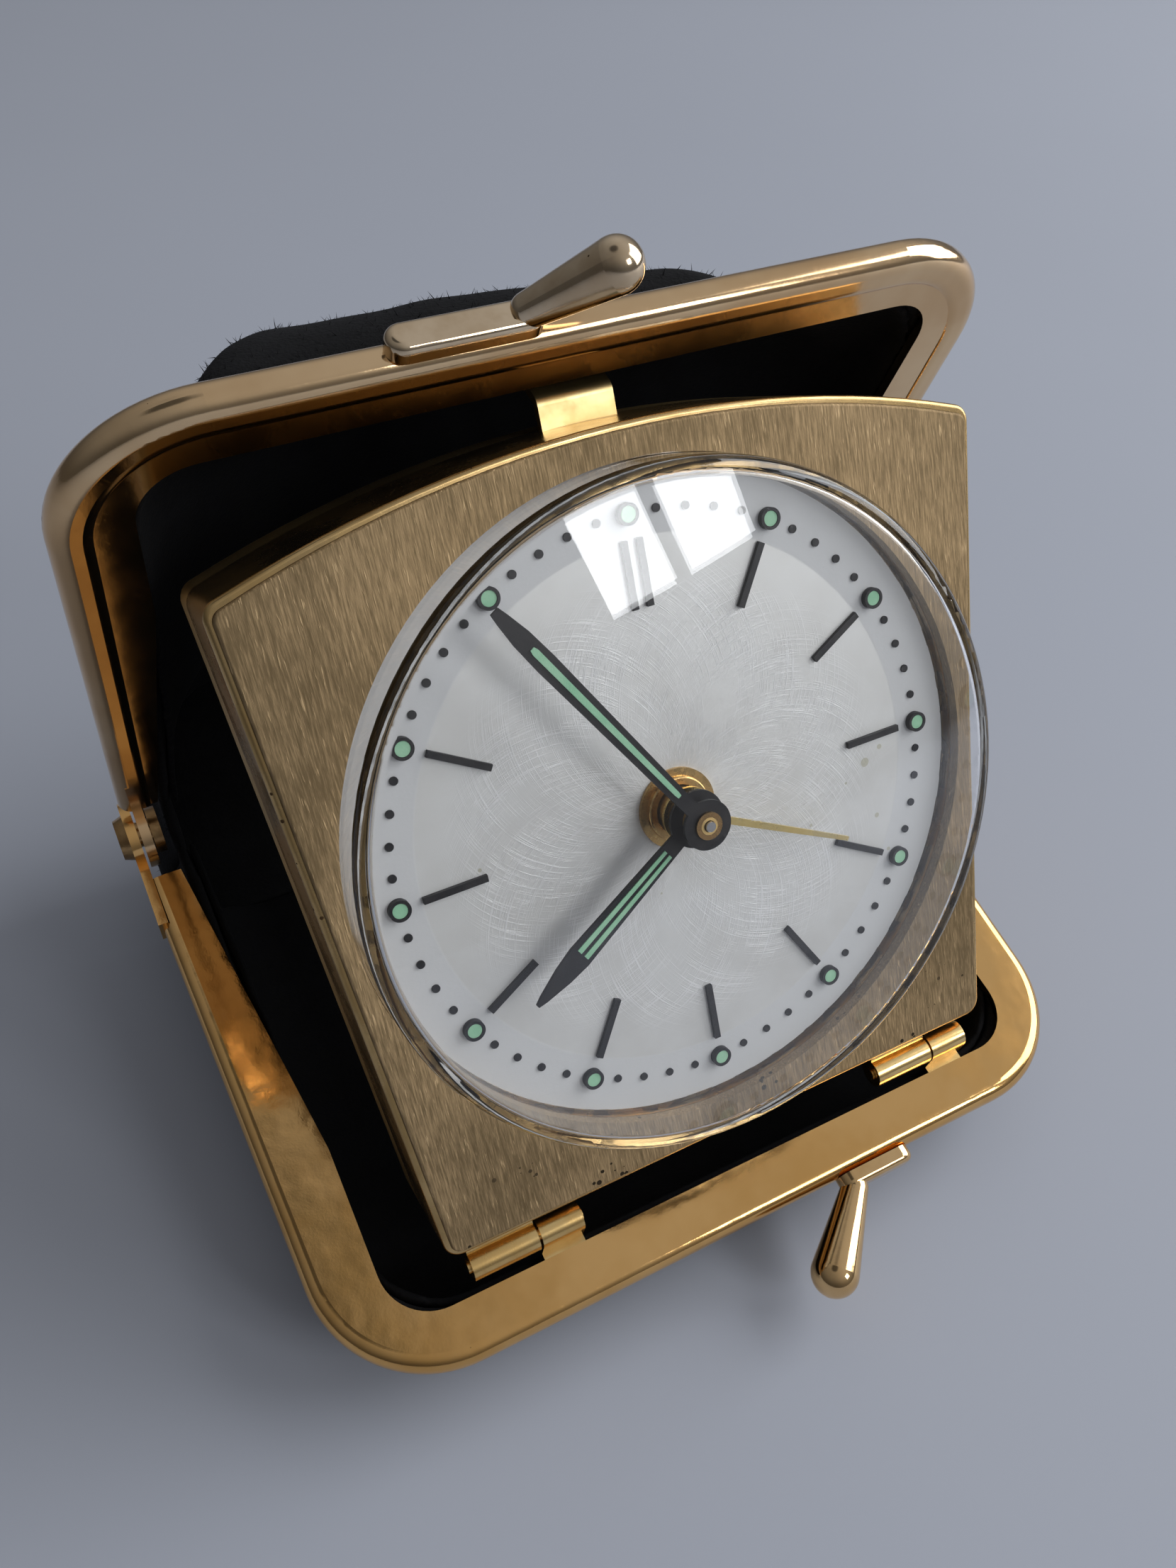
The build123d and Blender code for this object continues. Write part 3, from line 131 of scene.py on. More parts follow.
class ShaderTree(NodeTree):
    """A shader node tree with its usual nodes as calls."""

    def math(self, operation: str, first: Input, second: Input = 0.0,
             clamp: bool = False) -> bpy.types.NodeSocket:
        """Work out one number from two, kept between 0 and 1 where clamp says so."""
        node = self.fed("ShaderNodeMath", {0: first, 1: second}, operation=operation, use_clamp=clamp)
        return node.outputs[0]

    def scaled(self, value: Input, factor: Input, base: Input) -> bpy.types.NodeSocket:
        """Multiply a value by a factor and add a base."""
        result = self.math("MULTIPLY_ADD", value, factor)
        self.feed(result.node.inputs[2], base)
        return result

    def between(self, value: Input, low: float, high: float, start: Input = 0.0,
                end: Input = 1.0) -> bpy.types.NodeSocket:
        """Bring a value smoothly from the range low to high to the range start to end."""
        node = self.add("ShaderNodeMapRange", interpolation_type="SMOOTHSTEP")
        for socket, item in zip(node.inputs, (value, low, high, start, end)):
            self.feed(socket, item)
        return node.outputs[0]

    def mix(self, factor: Input, first: Input, second: Input) -> bpy.types.NodeSocket:
        """Mix two colours, with the factor as the share of the second."""
        node = self.add("ShaderNodeMix", data_type="RGBA")
        self.feed(node.inputs[0], factor)
        self.feed(node.inputs[6], first if isinstance(first, bpy.types.NodeSocket) else (*first, 1.0))
        self.feed(node.inputs[7], second if isinstance(second, bpy.types.NodeSocket) else (*second, 1.0))
        return node.outputs[2]

    def ramp(self, value: Input, shades: Shades) -> bpy.types.NodeSocket:
        """Turn a value into a colour by the steps of a ramp."""
        node = self.add("ShaderNodeValToRGB")
        steps = node.color_ramp.elements
        while len(steps) < len(shades.stops):
            steps.new(0.5)
        for step, (place, colour) in zip(steps, shades.stops):
            step.position = place
            step.color = (*colour, 1.0)
        self.feed(node.inputs[0], value)
        return node.outputs[0]

    def noise(self, place: Input, scale: Input, detail: float = 3.0,
              rough: float = 0.55) -> bpy.types.NodeSocket:
        """Soft noise from 0 to 1, with its cells in a metre, its finer layers and their weight."""
        feeds = {"Vector": place, "Scale": scale, "Detail": detail, "Roughness": rough}
        return self.fed("ShaderNodeTexNoise", feeds).outputs[0]

    def cells(self, place: Input, scale: Input) -> bpy.types.NodeSocket:
        """Distance to the nearest of scattered points, in cells."""
        return self.fed("ShaderNodeTexVoronoi", {"Vector": place, "Scale": scale}).outputs["Distance"]

    def place(self) -> bpy.types.NodeSocket:
        """Coordinates in the row frame, in metres."""
        return self.add("ShaderNodeTexCoord").outputs["Object"]

    def moved(self, place: Input, shift: Sequence[float] = (0, 0, 0), turn: Sequence[float] = (0, 0, 0),
              scale: Sequence[float] = (1, 1, 1)) -> bpy.types.NodeSocket:
        """Stretch coordinates along each axis, turn them by radians about each axis, and shift them."""
        feeds = {"Vector": place, "Location": shift, "Rotation": turn, "Scale": scale}
        return self.fed("ShaderNodeMapping", feeds).outputs[0]

    def split(self, place: Input) -> tuple[bpy.types.NodeSocket, bpy.types.NodeSocket, bpy.types.NodeSocket]:
        """The three parts of a vector."""
        parts = self.fed("ShaderNodeSeparateXYZ", {0: place}).outputs
        return parts[0], parts[1], parts[2]

    def joined(self, first: Input, second: Input, third: Input = 0.0) -> bpy.types.NodeSocket:
        """A vector of three parts."""
        return self.fed("ShaderNodeCombineXYZ", {0: first, 1: second, 2: third}).outputs[0]

    def bump(self, height: Input, depth: float) -> bpy.types.NodeSocket:
        """A normal bent by a height from 0 to 1, whose range is so many metres deep."""
        return self.fed("ShaderNodeBump", {"Strength": 1.0, "Distance": depth, "Height": height}).outputs[0]

    def use(self, group: bpy.types.NodeTree, **values: Input) -> bpy.types.Node:
        """Place a shared node group and set its inputs, named with underscores for spaces."""
        node = self.add("ShaderNodeGroup", node_tree=group)
        for name, value in values.items():
            self.feed(node.inputs[name.replace("_", " ")], value)
        return node


class SharedEffects:
    """Shader node groups that several finishes place with their own values."""

    SMUDGE_EDGE = (0.34, 0.68)
    THINNING = 0.21
    SPECK_EDGE = (0.48, 0.72)
    LINE_TURNS = (0.5, -0.9)
    LINE_TILT = 0.7
    LINE_EDGE = (0.62, 0.74)
    COARSENESS = 0.18

    def __init__(self) -> None:
        """Build the groups once."""
        self.age = self._age()
        self.scratches = self._scratches()
        self.grain = self._grain()

    @staticmethod
    def _open(name: str, numbers: dict[str, float], outputs: Iterable[str]) -> tuple[ShaderTree, Any, Any]:
        """Start a group with a place input, number inputs with their usual values, and number outputs.

        Returns:
            The group's tree, its input node and its output node.
        """
        group = bpy.data.node_groups.new(name, "ShaderNodeTree")
        group.interface.new_socket(name="Place", in_out="INPUT", socket_type="NodeSocketVector")
        for label, usual in numbers.items():
            socket = group.interface.new_socket(name=label, in_out="INPUT", socket_type="NodeSocketFloat")
            socket.default_value = usual
        for label in outputs:
            group.interface.new_socket(name=label, in_out="OUTPUT", socket_type="NodeSocketFloat")
        tree = ShaderTree(group)
        return tree, tree.add("NodeGroupInput"), tree.add("NodeGroupOutput")

    def _age(self) -> bpy.types.NodeTree:
        """Handling marks: broad smudges, and small specks that thin out in places."""
        usual = {"Smudge Scale": 90.0, "Speck Scale": 900.0, "Speck Share": 0.12}
        tree, start, end = self._open("handling_age", usual, ("Smudge", "Speck"))
        place = start.outputs["Place"]
        broad = tree.noise(place, start.outputs["Smudge Scale"], detail=4.0, rough=0.6)
        tree.feed(end.inputs["Smudge"], tree.between(broad, *self.SMUDGE_EDGE))
        near = tree.cells(place, start.outputs["Speck Scale"])
        sparse = tree.math("MULTIPLY", start.outputs["Speck Scale"], self.THINNING)
        thin = tree.between(tree.noise(place, sparse, detail=2.0), *self.SPECK_EDGE)
        reach = tree.math("MULTIPLY", start.outputs["Speck Share"], thin)
        tree.feed(end.inputs["Speck"], tree.math("LESS_THAN", near, reach))
        return tree.tree

    def _scratches(self) -> bpy.types.NodeTree:
        """Fine hairlines in two crossing directions."""
        tree, start, end = self._open("hairlines", {"Line Scale": 3000.0, "Line Length": 0.04}, ("Lines",))
        lines = []
        for turn in self.LINE_TURNS:
            along = tree.moved(start.outputs["Place"], turn=(turn, turn * self.LINE_TILT, turn))
            across, run, depth = tree.split(along)
            short = tree.math("MULTIPLY", run, start.outputs["Line Length"])
            stretched = tree.joined(across, short, depth)
            fine = tree.noise(stretched, start.outputs["Line Scale"], detail=2.0)
            lines.append(tree.between(fine, *self.LINE_EDGE))
        tree.feed(end.inputs["Lines"], tree.math("MAXIMUM", lines[0], lines[1]))
        return tree.tree

    def _grain(self) -> bpy.types.NodeTree:
        """Fine even grain with a coarser layer over it."""
        usual = {"Grain Scale": 5000.0, "Coarse Share": 0.35}
        tree, start, end = self._open("fine_grain", usual, ("Grain",))
        place = start.outputs["Place"]
        scale = start.outputs["Grain Scale"]
        fine = tree.noise(place, scale, detail=3.0, rough=0.6)
        coarse = tree.noise(place, tree.math("MULTIPLY", scale, self.COARSENESS), detail=2.0)
        part = tree.math("MULTIPLY", coarse, start.outputs["Coarse Share"])
        tree.feed(end.inputs["Grain"], tree.math("ADD", fine, part))
        return tree.tree


@dataclass(frozen=True)
class DialPlane:
    """Where the dial stands: its middle in metres and its lean from upright in radians."""

    middle: tuple[float, float, float]
    lean: float

    @classmethod
    def of(cls, joints: Sequence[dict[str, Any]]) -> "DialPlane":
        """Read the plane from the joint that the minute hand turns on."""
        turn = next(joint for joint in joints if joint["name"] == "minute_turn")
        axis = turn["axis"]
        return cls(tuple(turn["pos_m"]), math.atan2(axis[2], -axis[1]))

    def local(self, tree: ShaderTree) -> bpy.types.NodeSocket:
        """Coordinates with the dial's middle as origin, x right, y to twelve and z out of the dial."""
        turn = self.lean - math.pi / 2
        shift = -(Matrix.Rotation(turn, 3, "X") @ Vector(self.middle))
        return tree.moved(tree.place(), shift=tuple(shift), turn=(turn, 0.0, 0.0))


class Finish:
    """A finish that makes its material once and hands it out."""

    def __init__(self, name: str) -> None:
        """Start the material with this name and an empty tree."""
        self.material = bpy.data.materials.new(name)
        self.material.use_nodes = True
        self.material.node_tree.nodes.clear()
        self.tree = ShaderTree(self.material.node_tree)
        self.shader = self.tree.add("ShaderNodeBsdfPrincipled")
        output = self.tree.add("ShaderNodeOutputMaterial")
        self.tree.feed(output.inputs["Surface"], self.shader.outputs[0])

    def set(self, **values: Input) -> None:
        """Write or link the shader's sockets, named with underscores for spaces."""
        for name, value in values.items():
            self.tree.feed(self.shader.inputs[name.replace("_", " ")], value)


@dataclass(frozen=True)
class GiltLook:
    """How one gilt metal looks: its colours, gloss, smudges, specks and dents."""

    colour: Colour
    deep: Colour
    roughness: float
    smudge_gloss: float
    smudge_scale: float
    speck_scale: float
    speck_share: float
    speck: Colour = (0.10, 0.06, 0.03)
    dent_depth: float = 0.00003


class GiltMetal(Finish):
    """Gilt or plain metal with smudges, age specks, hairlines and soft dents."""

    LINE_GLOSS = 0.03
    SPECK_GLOSS = 0.3
    DENT_SCALE = 260.0
    GRAIN_SHARE = 0.05

    def __init__(self, name: str, effects: SharedEffects, look: GiltLook) -> None:
        """Build the material with this name from the shared node groups and its look."""
        super().__init__(name)
        tree = self.tree
        place = tree.place()
        age = tree.use(effects.age, Place=place, Smudge_Scale=look.smudge_scale, Speck_Scale=look.speck_scale,
                       Speck_Share=look.speck_share)
        smudge, speck = age.outputs["Smudge"], age.outputs["Speck"]
        lines = tree.use(effects.scratches, Place=place)
        grain = tree.use(effects.grain, Place=place)
        worn = tree.mix(smudge, look.colour, look.deep)
        self.set(Base_Color=tree.mix(speck, worn, look.speck), Metallic=1.0)
        gloss = tree.scaled(smudge, look.smudge_gloss, look.roughness)
        marked = tree.scaled(lines.outputs["Lines"], self.LINE_GLOSS, gloss)
        dull = tree.math("MULTIPLY", speck, self.SPECK_GLOSS)
        self.set(Roughness=tree.math("ADD", marked, dull, clamp=True))
        dents = tree.noise(place, self.DENT_SCALE, detail=2.0)
        height = tree.scaled(grain.outputs["Grain"], self.GRAIN_SHARE, dents)
        self.set(Normal=tree.bump(height, look.dent_depth))


class GrainedPlate(Finish):
    """The face plate's dark champagne brass with a coarse upright grain and age specks near its foot."""

    SHADES = Shades(((0.0, (0.20, 0.137, 0.066)), (0.45, (0.43, 0.303, 0.160)), (1.0, (0.66, 0.480, 0.272))))
    STREAKS = (1.0, 0.07, 1.0)
    STREAK_SCALE = 9000.0
    FLECKS = (1.0, 0.12, 1.0)
    FLECK_SCALE = 6000.0
    FLECK_EDGE = (0.62, 0.74)
    FLECK_LIGHT = 0.28
    TONE_RANGE = (0.2, 0.95)
    SMUDGE_SHADE = -0.2
    SPECK = (0.05, 0.035, 0.02)
    SPECK_GLOSS = 0.3
    FOOT_START = -0.0165
    FOOT_END = -0.0245
    GLOSS = 0.56
    STREAK_GLOSS = 0.2
    GRAIN_DEPTH = 0.000016

    def __init__(self, effects: SharedEffects, plane: DialPlane) -> None:
        """Build the material from the shared node groups and the place of the dial."""
        super().__init__("plate_brass")
        tree = self.tree
        place = plane.local(tree)
        streak = tree.noise(tree.moved(place, scale=self.STREAKS), self.STREAK_SCALE, detail=4.0, rough=0.65)
        flakes = tree.noise(tree.moved(place, scale=self.FLECKS), self.FLECK_SCALE, detail=2.0, rough=0.5)
        fleck = tree.between(flakes, *self.FLECK_EDGE)
        age = tree.use(effects.age, Place=place, Smudge_Scale=70.0, Speck_Scale=1500.0, Speck_Share=0.34)
        tone = tree.scaled(age.outputs["Smudge"], self.SMUDGE_SHADE, streak)
        light = tree.scaled(fleck, self.FLECK_LIGHT, tone)
        _, up, _ = tree.split(place)
        foot = tree.between(up, self.FOOT_START, self.FOOT_END)
        aged = tree.math("MULTIPLY", age.outputs["Speck"], foot)
        colour = tree.ramp(tree.between(light, *self.TONE_RANGE), self.SHADES)
        self.set(Base_Color=tree.mix(aged, colour, self.SPECK), Metallic=0.7)
        gloss = tree.scaled(streak, self.STREAK_GLOSS, self.GLOSS)
        dull = tree.math("MULTIPLY", aged, self.SPECK_GLOSS)
        self.set(Roughness=tree.math("ADD", gloss, dull, clamp=True))
        self.set(Normal=tree.bump(tree.math("ADD", streak, fleck), self.GRAIN_DEPTH))


class SilveredDial(Finish):
    """Silvered dial: a disc brushed in two crossing families of arcs, in a matt ring with fine pores; the arcs
    are also whitened in colour as a painted highlight of the brushing.
    """

    RING_START = 0.01835
    RING_END = 0.01855
    BRUSH_CENTRE = 0.0088
    BRUSH_RADIUS = 0.0092
    ARC_COUNT = 105.0
    ARC_LIMIT = 0.999
    ARC_EDGE = (0.52, 0.66)
    DASHES = 3.0
    DISC = (0.68, 0.68, 0.665)
    DISC_DEEP = (0.63, 0.625, 0.605)
    RING = (0.645, 0.65, 0.65)
    # Painted highlight: the near-white colour that the brushed arcs take, standing in for the glint of the
    # brushing.
    LINE_GLINT = (0.93, 0.93, 0.93)
    LINE_GLINT_SHARE = 0.62
    LINE_GLOSS = -0.16
    SPOT = (0.42, 0.40, 0.28)
    SPOT_SHARE = 0.65
    PEARL_SCALE = 180.0
    PEARL_EDGE = (0.3, 0.7)
    DISC_METAL = 0.22
    DISC_GLOSS = 0.46
    RING_GLOSS = 0.6
    PORE_SHARE = 0.7
    GRAIN_DEPTH = 0.000012
    PATCH_SCALE = 240.0
    PATCH_EDGE = (0.30, 0.58)
    BRUSH_FADE = (0.0132, 0.0176)

    def __init__(self, effects: SharedEffects, plane: DialPlane) -> None:
        """Build the material from the shared node groups and the place of the dial."""
        super().__init__("dial_silver")
        tree = self.tree
        place = plane.local(tree)
        across, up, _ = tree.split(place)
        squares = tree.math("ADD", tree.math("MULTIPLY", across, across), tree.math("MULTIPLY", up, up))
        reach = tree.math("SQRT", squares)
        ring = tree.between(reach, self.RING_START, self.RING_END)
        lines = self._brushing(across, up, reach)
        pores = tree.use(effects.grain, Place=place, Grain_Scale=4200.0)
        age = tree.use(effects.age, Place=place, Smudge_Scale=160.0, Speck_Scale=420.0, Speck_Share=0.16)
        pearl = tree.between(tree.noise(place, self.PEARL_SCALE), *self.PEARL_EDGE)
        disc = tree.mix(pearl, self.DISC, self.DISC_DEEP)
        # Painted highlight: the brushed arcs are whitened in the colour to stand in for their glint; their bump
        # and gloss below are the real brushing.
        glinting_disc = tree.mix(tree.math("MULTIPLY", lines, self.LINE_GLINT_SHARE), disc, self.LINE_GLINT)
        whole = tree.mix(ring, glinting_disc, self.RING)
        spots = tree.math("MULTIPLY", age.outputs["Speck"], self.SPOT_SHARE)
        self.set(Base_Color=tree.mix(spots, whole, self.SPOT))
        self.set(Metallic=tree.between(reach, self.RING_START, self.RING_END, self.DISC_METAL, 0.0))
        rough = tree.add("ShaderNodeMix", data_type="FLOAT")
        tree.feed(rough.inputs[0], ring)
        tree.feed(rough.inputs[2], tree.scaled(lines, self.LINE_GLOSS, self.DISC_GLOSS))
        tree.feed(rough.inputs[3], self.RING_GLOSS)
        self.set(Roughness=rough.outputs[0])
        pored = tree.math("MULTIPLY", pores.outputs["Grain"], tree.math("MULTIPLY", ring, self.PORE_SHARE))
        brushed = tree.math("MULTIPLY", lines, tree.math("SUBTRACT", 1.0, ring))
        self.set(Normal=tree.bump(tree.math("ADD", pored, brushed), self.GRAIN_DEPTH))

    def _brushing(self, across: Input, up: Input, reach: Input) -> bpy.types.NodeSocket:
        """Dashes along circles whose middles lie on a ring round the dial's middle, 0 elsewhere; the dial
        whitens them in colour as a painted highlight.
        """
        tree = self.tree
        bearing = tree.math("ARCTAN2", up, across)
        square = tree.math("MULTIPLY", reach, reach)
        known = self.BRUSH_CENTRE ** 2 - self.BRUSH_RADIUS ** 2
        cosine = tree.math("DIVIDE", tree.math("ADD", square, known),
                           tree.math("MAXIMUM", tree.math("MULTIPLY", reach, 2 * self.BRUSH_CENTRE), TINY))
        least = tree.math("MAXIMUM", cosine, -self.ARC_LIMIT)
        swing = tree.math("ARCCOSINE", tree.math("MINIMUM", least, self.ARC_LIMIT))
        families = []
        for side in ("ADD", "SUBTRACT"):
            index = tree.math(side, bearing, swing)
            around = tree.joined(tree.math("COSINE", index), tree.math("SINE", index),
                                 tree.math("MULTIPLY", reach, self.DASHES))
            fine = tree.noise(around, self.ARC_COUNT, detail=2.0, rough=0.6)
            families.append(tree.between(fine, *self.ARC_EDGE))
        both = tree.math("ADD", families[0], families[1], clamp=True)
        patch = tree.noise(tree.joined(across, up), self.PATCH_SCALE, detail=2.0)
        broken = tree.math("MULTIPLY", both, tree.between(patch, *self.PATCH_EDGE))
        inside = tree.between(reach, *self.BRUSH_FADE, 1.0, 0.0)
        return tree.math("MULTIPLY", broken, inside)


class ClearCrystal(Finish):
    """Clear moulded crystal with faint hairlines, which lets the room's light straight to the dial."""

    LINE_GLOSS = 0.02
    PASSED_LIGHT = 0.92

    def __init__(self, effects: SharedEffects) -> None:
        """Build the material."""
        super().__init__("crystal_clear")
        tree = self.tree
        lines = tree.use(effects.scratches, Place=tree.place(), Line_Scale=1500.0)
        self.set(Base_Color=(1.0, 1.0, 1.0, 1.0), Metallic=0.0, IOR=1.49, Transmission_Weight=1.0)
        self.set(Roughness=tree.math("MULTIPLY", lines.outputs["Lines"], self.LINE_GLOSS))
        path = tree.add("ShaderNodeLightPath")
        passing = tree.math("MAXIMUM", path.outputs["Is Shadow Ray"], path.outputs["Is Diffuse Ray"])
        self.set(Alpha=tree.math("SUBTRACT", 1.0, tree.math("MULTIPLY", passing, self.PASSED_LIGHT)))


class PlainPaint(Finish):
    """Paint with slow colour drift, fine grain and worn patches."""

    SMUDGE_GLOSS = 0.15

    def __init__(self, name: str, effects: SharedEffects, colour: Colour, drift: Colour, roughness: float,
                 grain_depth: float = 0.000008) -> None:
        """Build the material.

        Args:
            name: The material's name.
            effects: The shared node groups.
            colour: The main colour.
            drift: The colour it drifts to.
            roughness: The gloss, from 0 to 1.
            grain_depth: The depth of the grain in metres.
        """
        super().__init__(name)
        tree = self.tree
        place = tree.place()
        age = tree.use(effects.age, Place=place, Smudge_Scale=520.0, Speck_Scale=1600.0, Speck_Share=0.1)
        grain = tree.use(effects.grain, Place=place, Grain_Scale=6500.0)
        smudge = age.outputs["Smudge"]
        self.set(Base_Color=tree.mix(smudge, colour, drift), Metallic=0.0, Specular_IOR_Level=0.3)
        self.set(Roughness=tree.scaled(smudge, self.SMUDGE_GLOSS, roughness))
        self.set(Normal=tree.bump(grain.outputs["Grain"], grain_depth))


class NappedCloth(Finish):
    """Black suede or napped lining: lighter and darker strokes of nap over a fine pile."""

    STROKE_TURN = (0.2, 0.4, 0.3)
    STROKE_STRETCH = (1.0, 2.2, 1.4)
    STROKE_SCALE = 120.0
    STROKE_EDGE = (0.3, 0.7)
    STROKE_GLOSS = (0.86, 0.98)
    PILE_SHARE = 0.4
    TONE_RANGE = (0.45, 1.15)
    SHEEN_TINT = (0.5, 0.5, 0.55, 1.0)

    def __init__(self, name: str, effects: SharedEffects, dark: Colour, pale: Colour, pile_depth: float,
                 sheen: float) -> None:
        """Build the material.

        Args:
            name: The material's name.
            effects: The shared node groups.
            dark: The colour where the nap lies away.
            pale: The colour where it is brushed up.
            pile_depth: The depth of the pile in metres.
            sheen: The weight of the sheen.
        """
        super().__init__(name)
        tree = self.tree
        place = tree.place()
        brushed = tree.moved(place, turn=self.STROKE_TURN, scale=self.STROKE_STRETCH)
        strokes = tree.noise(brushed, self.STROKE_SCALE, detail=4.0, rough=0.62)
        pile = tree.use(effects.grain, Place=place, Grain_Scale=3600.0, Coarse_Share=0.8)
        tone = tree.scaled(pile.outputs["Grain"], self.PILE_SHARE, strokes)
        self.set(Base_Color=tree.mix(tree.between(tone, *self.TONE_RANGE), dark, pale), Metallic=0.0)
        self.set(Sheen_Weight=sheen, Sheen_Roughness=0.6, Sheen_Tint=self.SHEEN_TINT, Specular_IOR_Level=0.15)
        self.set(Roughness=tree.between(strokes, *self.STROKE_EDGE, *self.STROKE_GLOSS))
        self.set(Normal=tree.bump(pile.outputs["Grain"], pile_depth))


class StudioFloor(Finish):
    """Plain pale table top with the faintest mottle."""

    MOTTLE_SCALE = 9.0
    MOTTLE_LIGHT = 1.05

    def __init__(self, colour: Colour) -> None:
        """Build the material."""
        super().__init__("table_top")
        tree = self.tree
        mottle = tree.noise(tree.place(), self.MOTTLE_SCALE)
        paler = tuple(min(1.0, part * self.MOTTLE_LIGHT) for part in colour)
        self.set(Base_Color=tree.mix(mottle, colour, paler), Roughness=0.62, Specular_IOR_Level=0.25)


class Finishes:
    """All finishes of the clock, its purse and its movement."""

    GILT = {
        "lower_gilt": GiltLook((0.86, 0.52, 0.20), (0.74, 0.42, 0.14), 0.08, 0.08, 120.0, 560.0, 0.05,
                               dent_depth=0.00005),
        "upper_gilt": GiltLook((0.80, 0.57, 0.33), (0.67, 0.44, 0.23), 0.09, 0.07, 90.0, 900.0, 0.05),
        "rivet_bronze": GiltLook((0.46, 0.29, 0.13), (0.30, 0.18, 0.08), 0.22, 0.12, 500.0, 1500.0, 0.1),
        "lower_clasp_gilt": GiltLook((0.82, 0.55, 0.27), (0.68, 0.42, 0.18), 0.07, 0.06, 200.0, 1200.0, 0.06),
        "upper_clasp_gilt": GiltLook((0.78, 0.62, 0.43), (0.62, 0.46, 0.29), 0.07, 0.08, 240.0, 1100.0, 0.08),
        "hinge_gilt": GiltLook((0.88, 0.63, 0.28), (0.74, 0.48, 0.18), 0.19, 0.08, 300.0, 1400.0, 0.05),
        "tab_gilt": GiltLook((0.80, 0.60, 0.29), (0.68, 0.48, 0.20), 0.34, 0.08, 300.0, 1400.0, 0.08),
        "case_gilt": GiltLook((0.62, 0.43, 0.20), (0.44, 0.29, 0.12), 0.20, 0.12, 160.0, 1100.0, 0.14),
        "cover_gilt": GiltLook((0.74, 0.55, 0.27), (0.58, 0.40, 0.17), 0.30, 0.12, 70.0, 800.0, 0.10),
        "collet_bronze": GiltLook((0.72, 0.48, 0.20), (0.40, 0.25, 0.10), 0.20, 0.2, 700.0, 2400.0, 0.15),
        "alarm_brass": GiltLook((0.80, 0.64, 0.30), (0.66, 0.50, 0.20), 0.24, 0.1, 500.0, 2400.0, 0.06),
        "movement_brass": GiltLook((0.78, 0.58, 0.28), (0.62, 0.43, 0.18), 0.30, 0.12, 220.0, 1600.0, 0.06),
        "steel": GiltLook((0.55, 0.55, 0.56), (0.40, 0.39, 0.39), 0.24, 0.12, 320.0, 1900.0, 0.08,
                          speck=(0.10, 0.08, 0.07)),
    }

    def __init__(self, effects: SharedEffects, plane: DialPlane) -> None:
        """Make every material once from the shared node groups and the place of the dial."""
        self.gilt = {name: GiltMetal(name, effects, look) for name, look in self.GILT.items()}
        self.plate = GrainedPlate(effects, plane)
        self.dial = SilveredDial(effects, plane)
        self.crystal = ClearCrystal(effects)
        self.enamel = PlainPaint("black_enamel", effects, (0.007, 0.007, 0.009), (0.015, 0.014, 0.015), 0.42)
        self.lume = PlainPaint("lume", effects, (0.30, 0.60, 0.38), (0.40, 0.68, 0.46), 0.7, 0.00002)
        self.suede = NappedCloth(
            "suede", effects, (0.0028, 0.0028, 0.0032), (0.009, 0.009, 0.010), 0.00009, 0.018)
        self.nap = NappedCloth(
            "suede_nap", effects, (0.003, 0.003, 0.0034), (0.012, 0.012, 0.013), 0.00002, 0.03)
        self.lining = NappedCloth(
            "lining_cloth", effects, (0.0018, 0.0018, 0.0022), (0.006, 0.006, 0.007), 0.00006, 0.01)
        self.floor = StudioFloor((0.42, 0.445, 0.512))


class Dresser:
    """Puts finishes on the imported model's own nodes."""

    GILT_NODES = {
        "lower_gilt": ("lower_frame",),
        "upper_gilt": ("upper_frame",),
        "rivet_bronze": ("frame_rivets", "hand_nut"),
        "lower_clasp_gilt": ("lower_clasp",),
        "upper_clasp_gilt": ("upper_clasp",),
        "hinge_gilt": ("clock_knuckles", "frame_knuckles", "hinge_pins"),
        "tab_gilt": ("lifting_tab",),
        "case_gilt": ("clock_case",),
        "cover_gilt": ("back_cover",),
        "collet_bronze": ("centre_collet",),
        "alarm_brass": ("alarm_hand",),
        "movement_brass": (
            "dial_spacer", "front_plate", "rear_plate", "hour_wheel", "alarm_wheel", "minute_wheel",
            "cannon_pinion", "third_wheel", "fourth_wheel", "escape_wheel", "balance_wheel", "time_barrel",
            "alarm_barrel", "time_key", "alarm_key", "time_knob", "alarm_knob"),
        "steel": (
            "plate_pillars", "case_screws", "centre_arbor", "alarm_stem", "pallet_lever", "hairspring",
            "time_mainspring", "alarm_mainspring", "time_winding_arbor", "alarm_winding_arbor",
            "alarm_hammer", "alarm_stop", "regulator"),
    }

    def __init__(self, nodes: dict[str, bpy.types.Object], finishes: Finishes) -> None:
        """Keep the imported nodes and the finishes."""
        self.nodes = nodes
        self.finishes = finishes

    def build(self) -> None:
        """Dress the metal pieces, then the face, the dial's marks and the hands."""
        finishes = self.finishes
        for name, nodes in self.GILT_NODES.items():
            self._dress(finishes.gilt[name], *nodes)
        self._dress(finishes.plate, "face_plate")
        self._dress(finishes.crystal, "crystal")
        self._dress(finishes.dial, "dial")
        self._dress(finishes.enamel, "hour_bars", "hour_dot_rings", "minute_dots", "minute_hand", "hour_hand")
        self._dress(finishes.lume, "lume_dots", "minute_hand_lume", "hour_hand_lume")

    def _dress(self, finish: Finish, *names: str) -> None:
        """Give the named nodes a finish."""
        for name in names:
            mesh = self.nodes[name].data
            mesh.materials.clear()
            mesh.materials.append(finish.material)
            LOG.info("%s takes %s", name, finish.material.name)


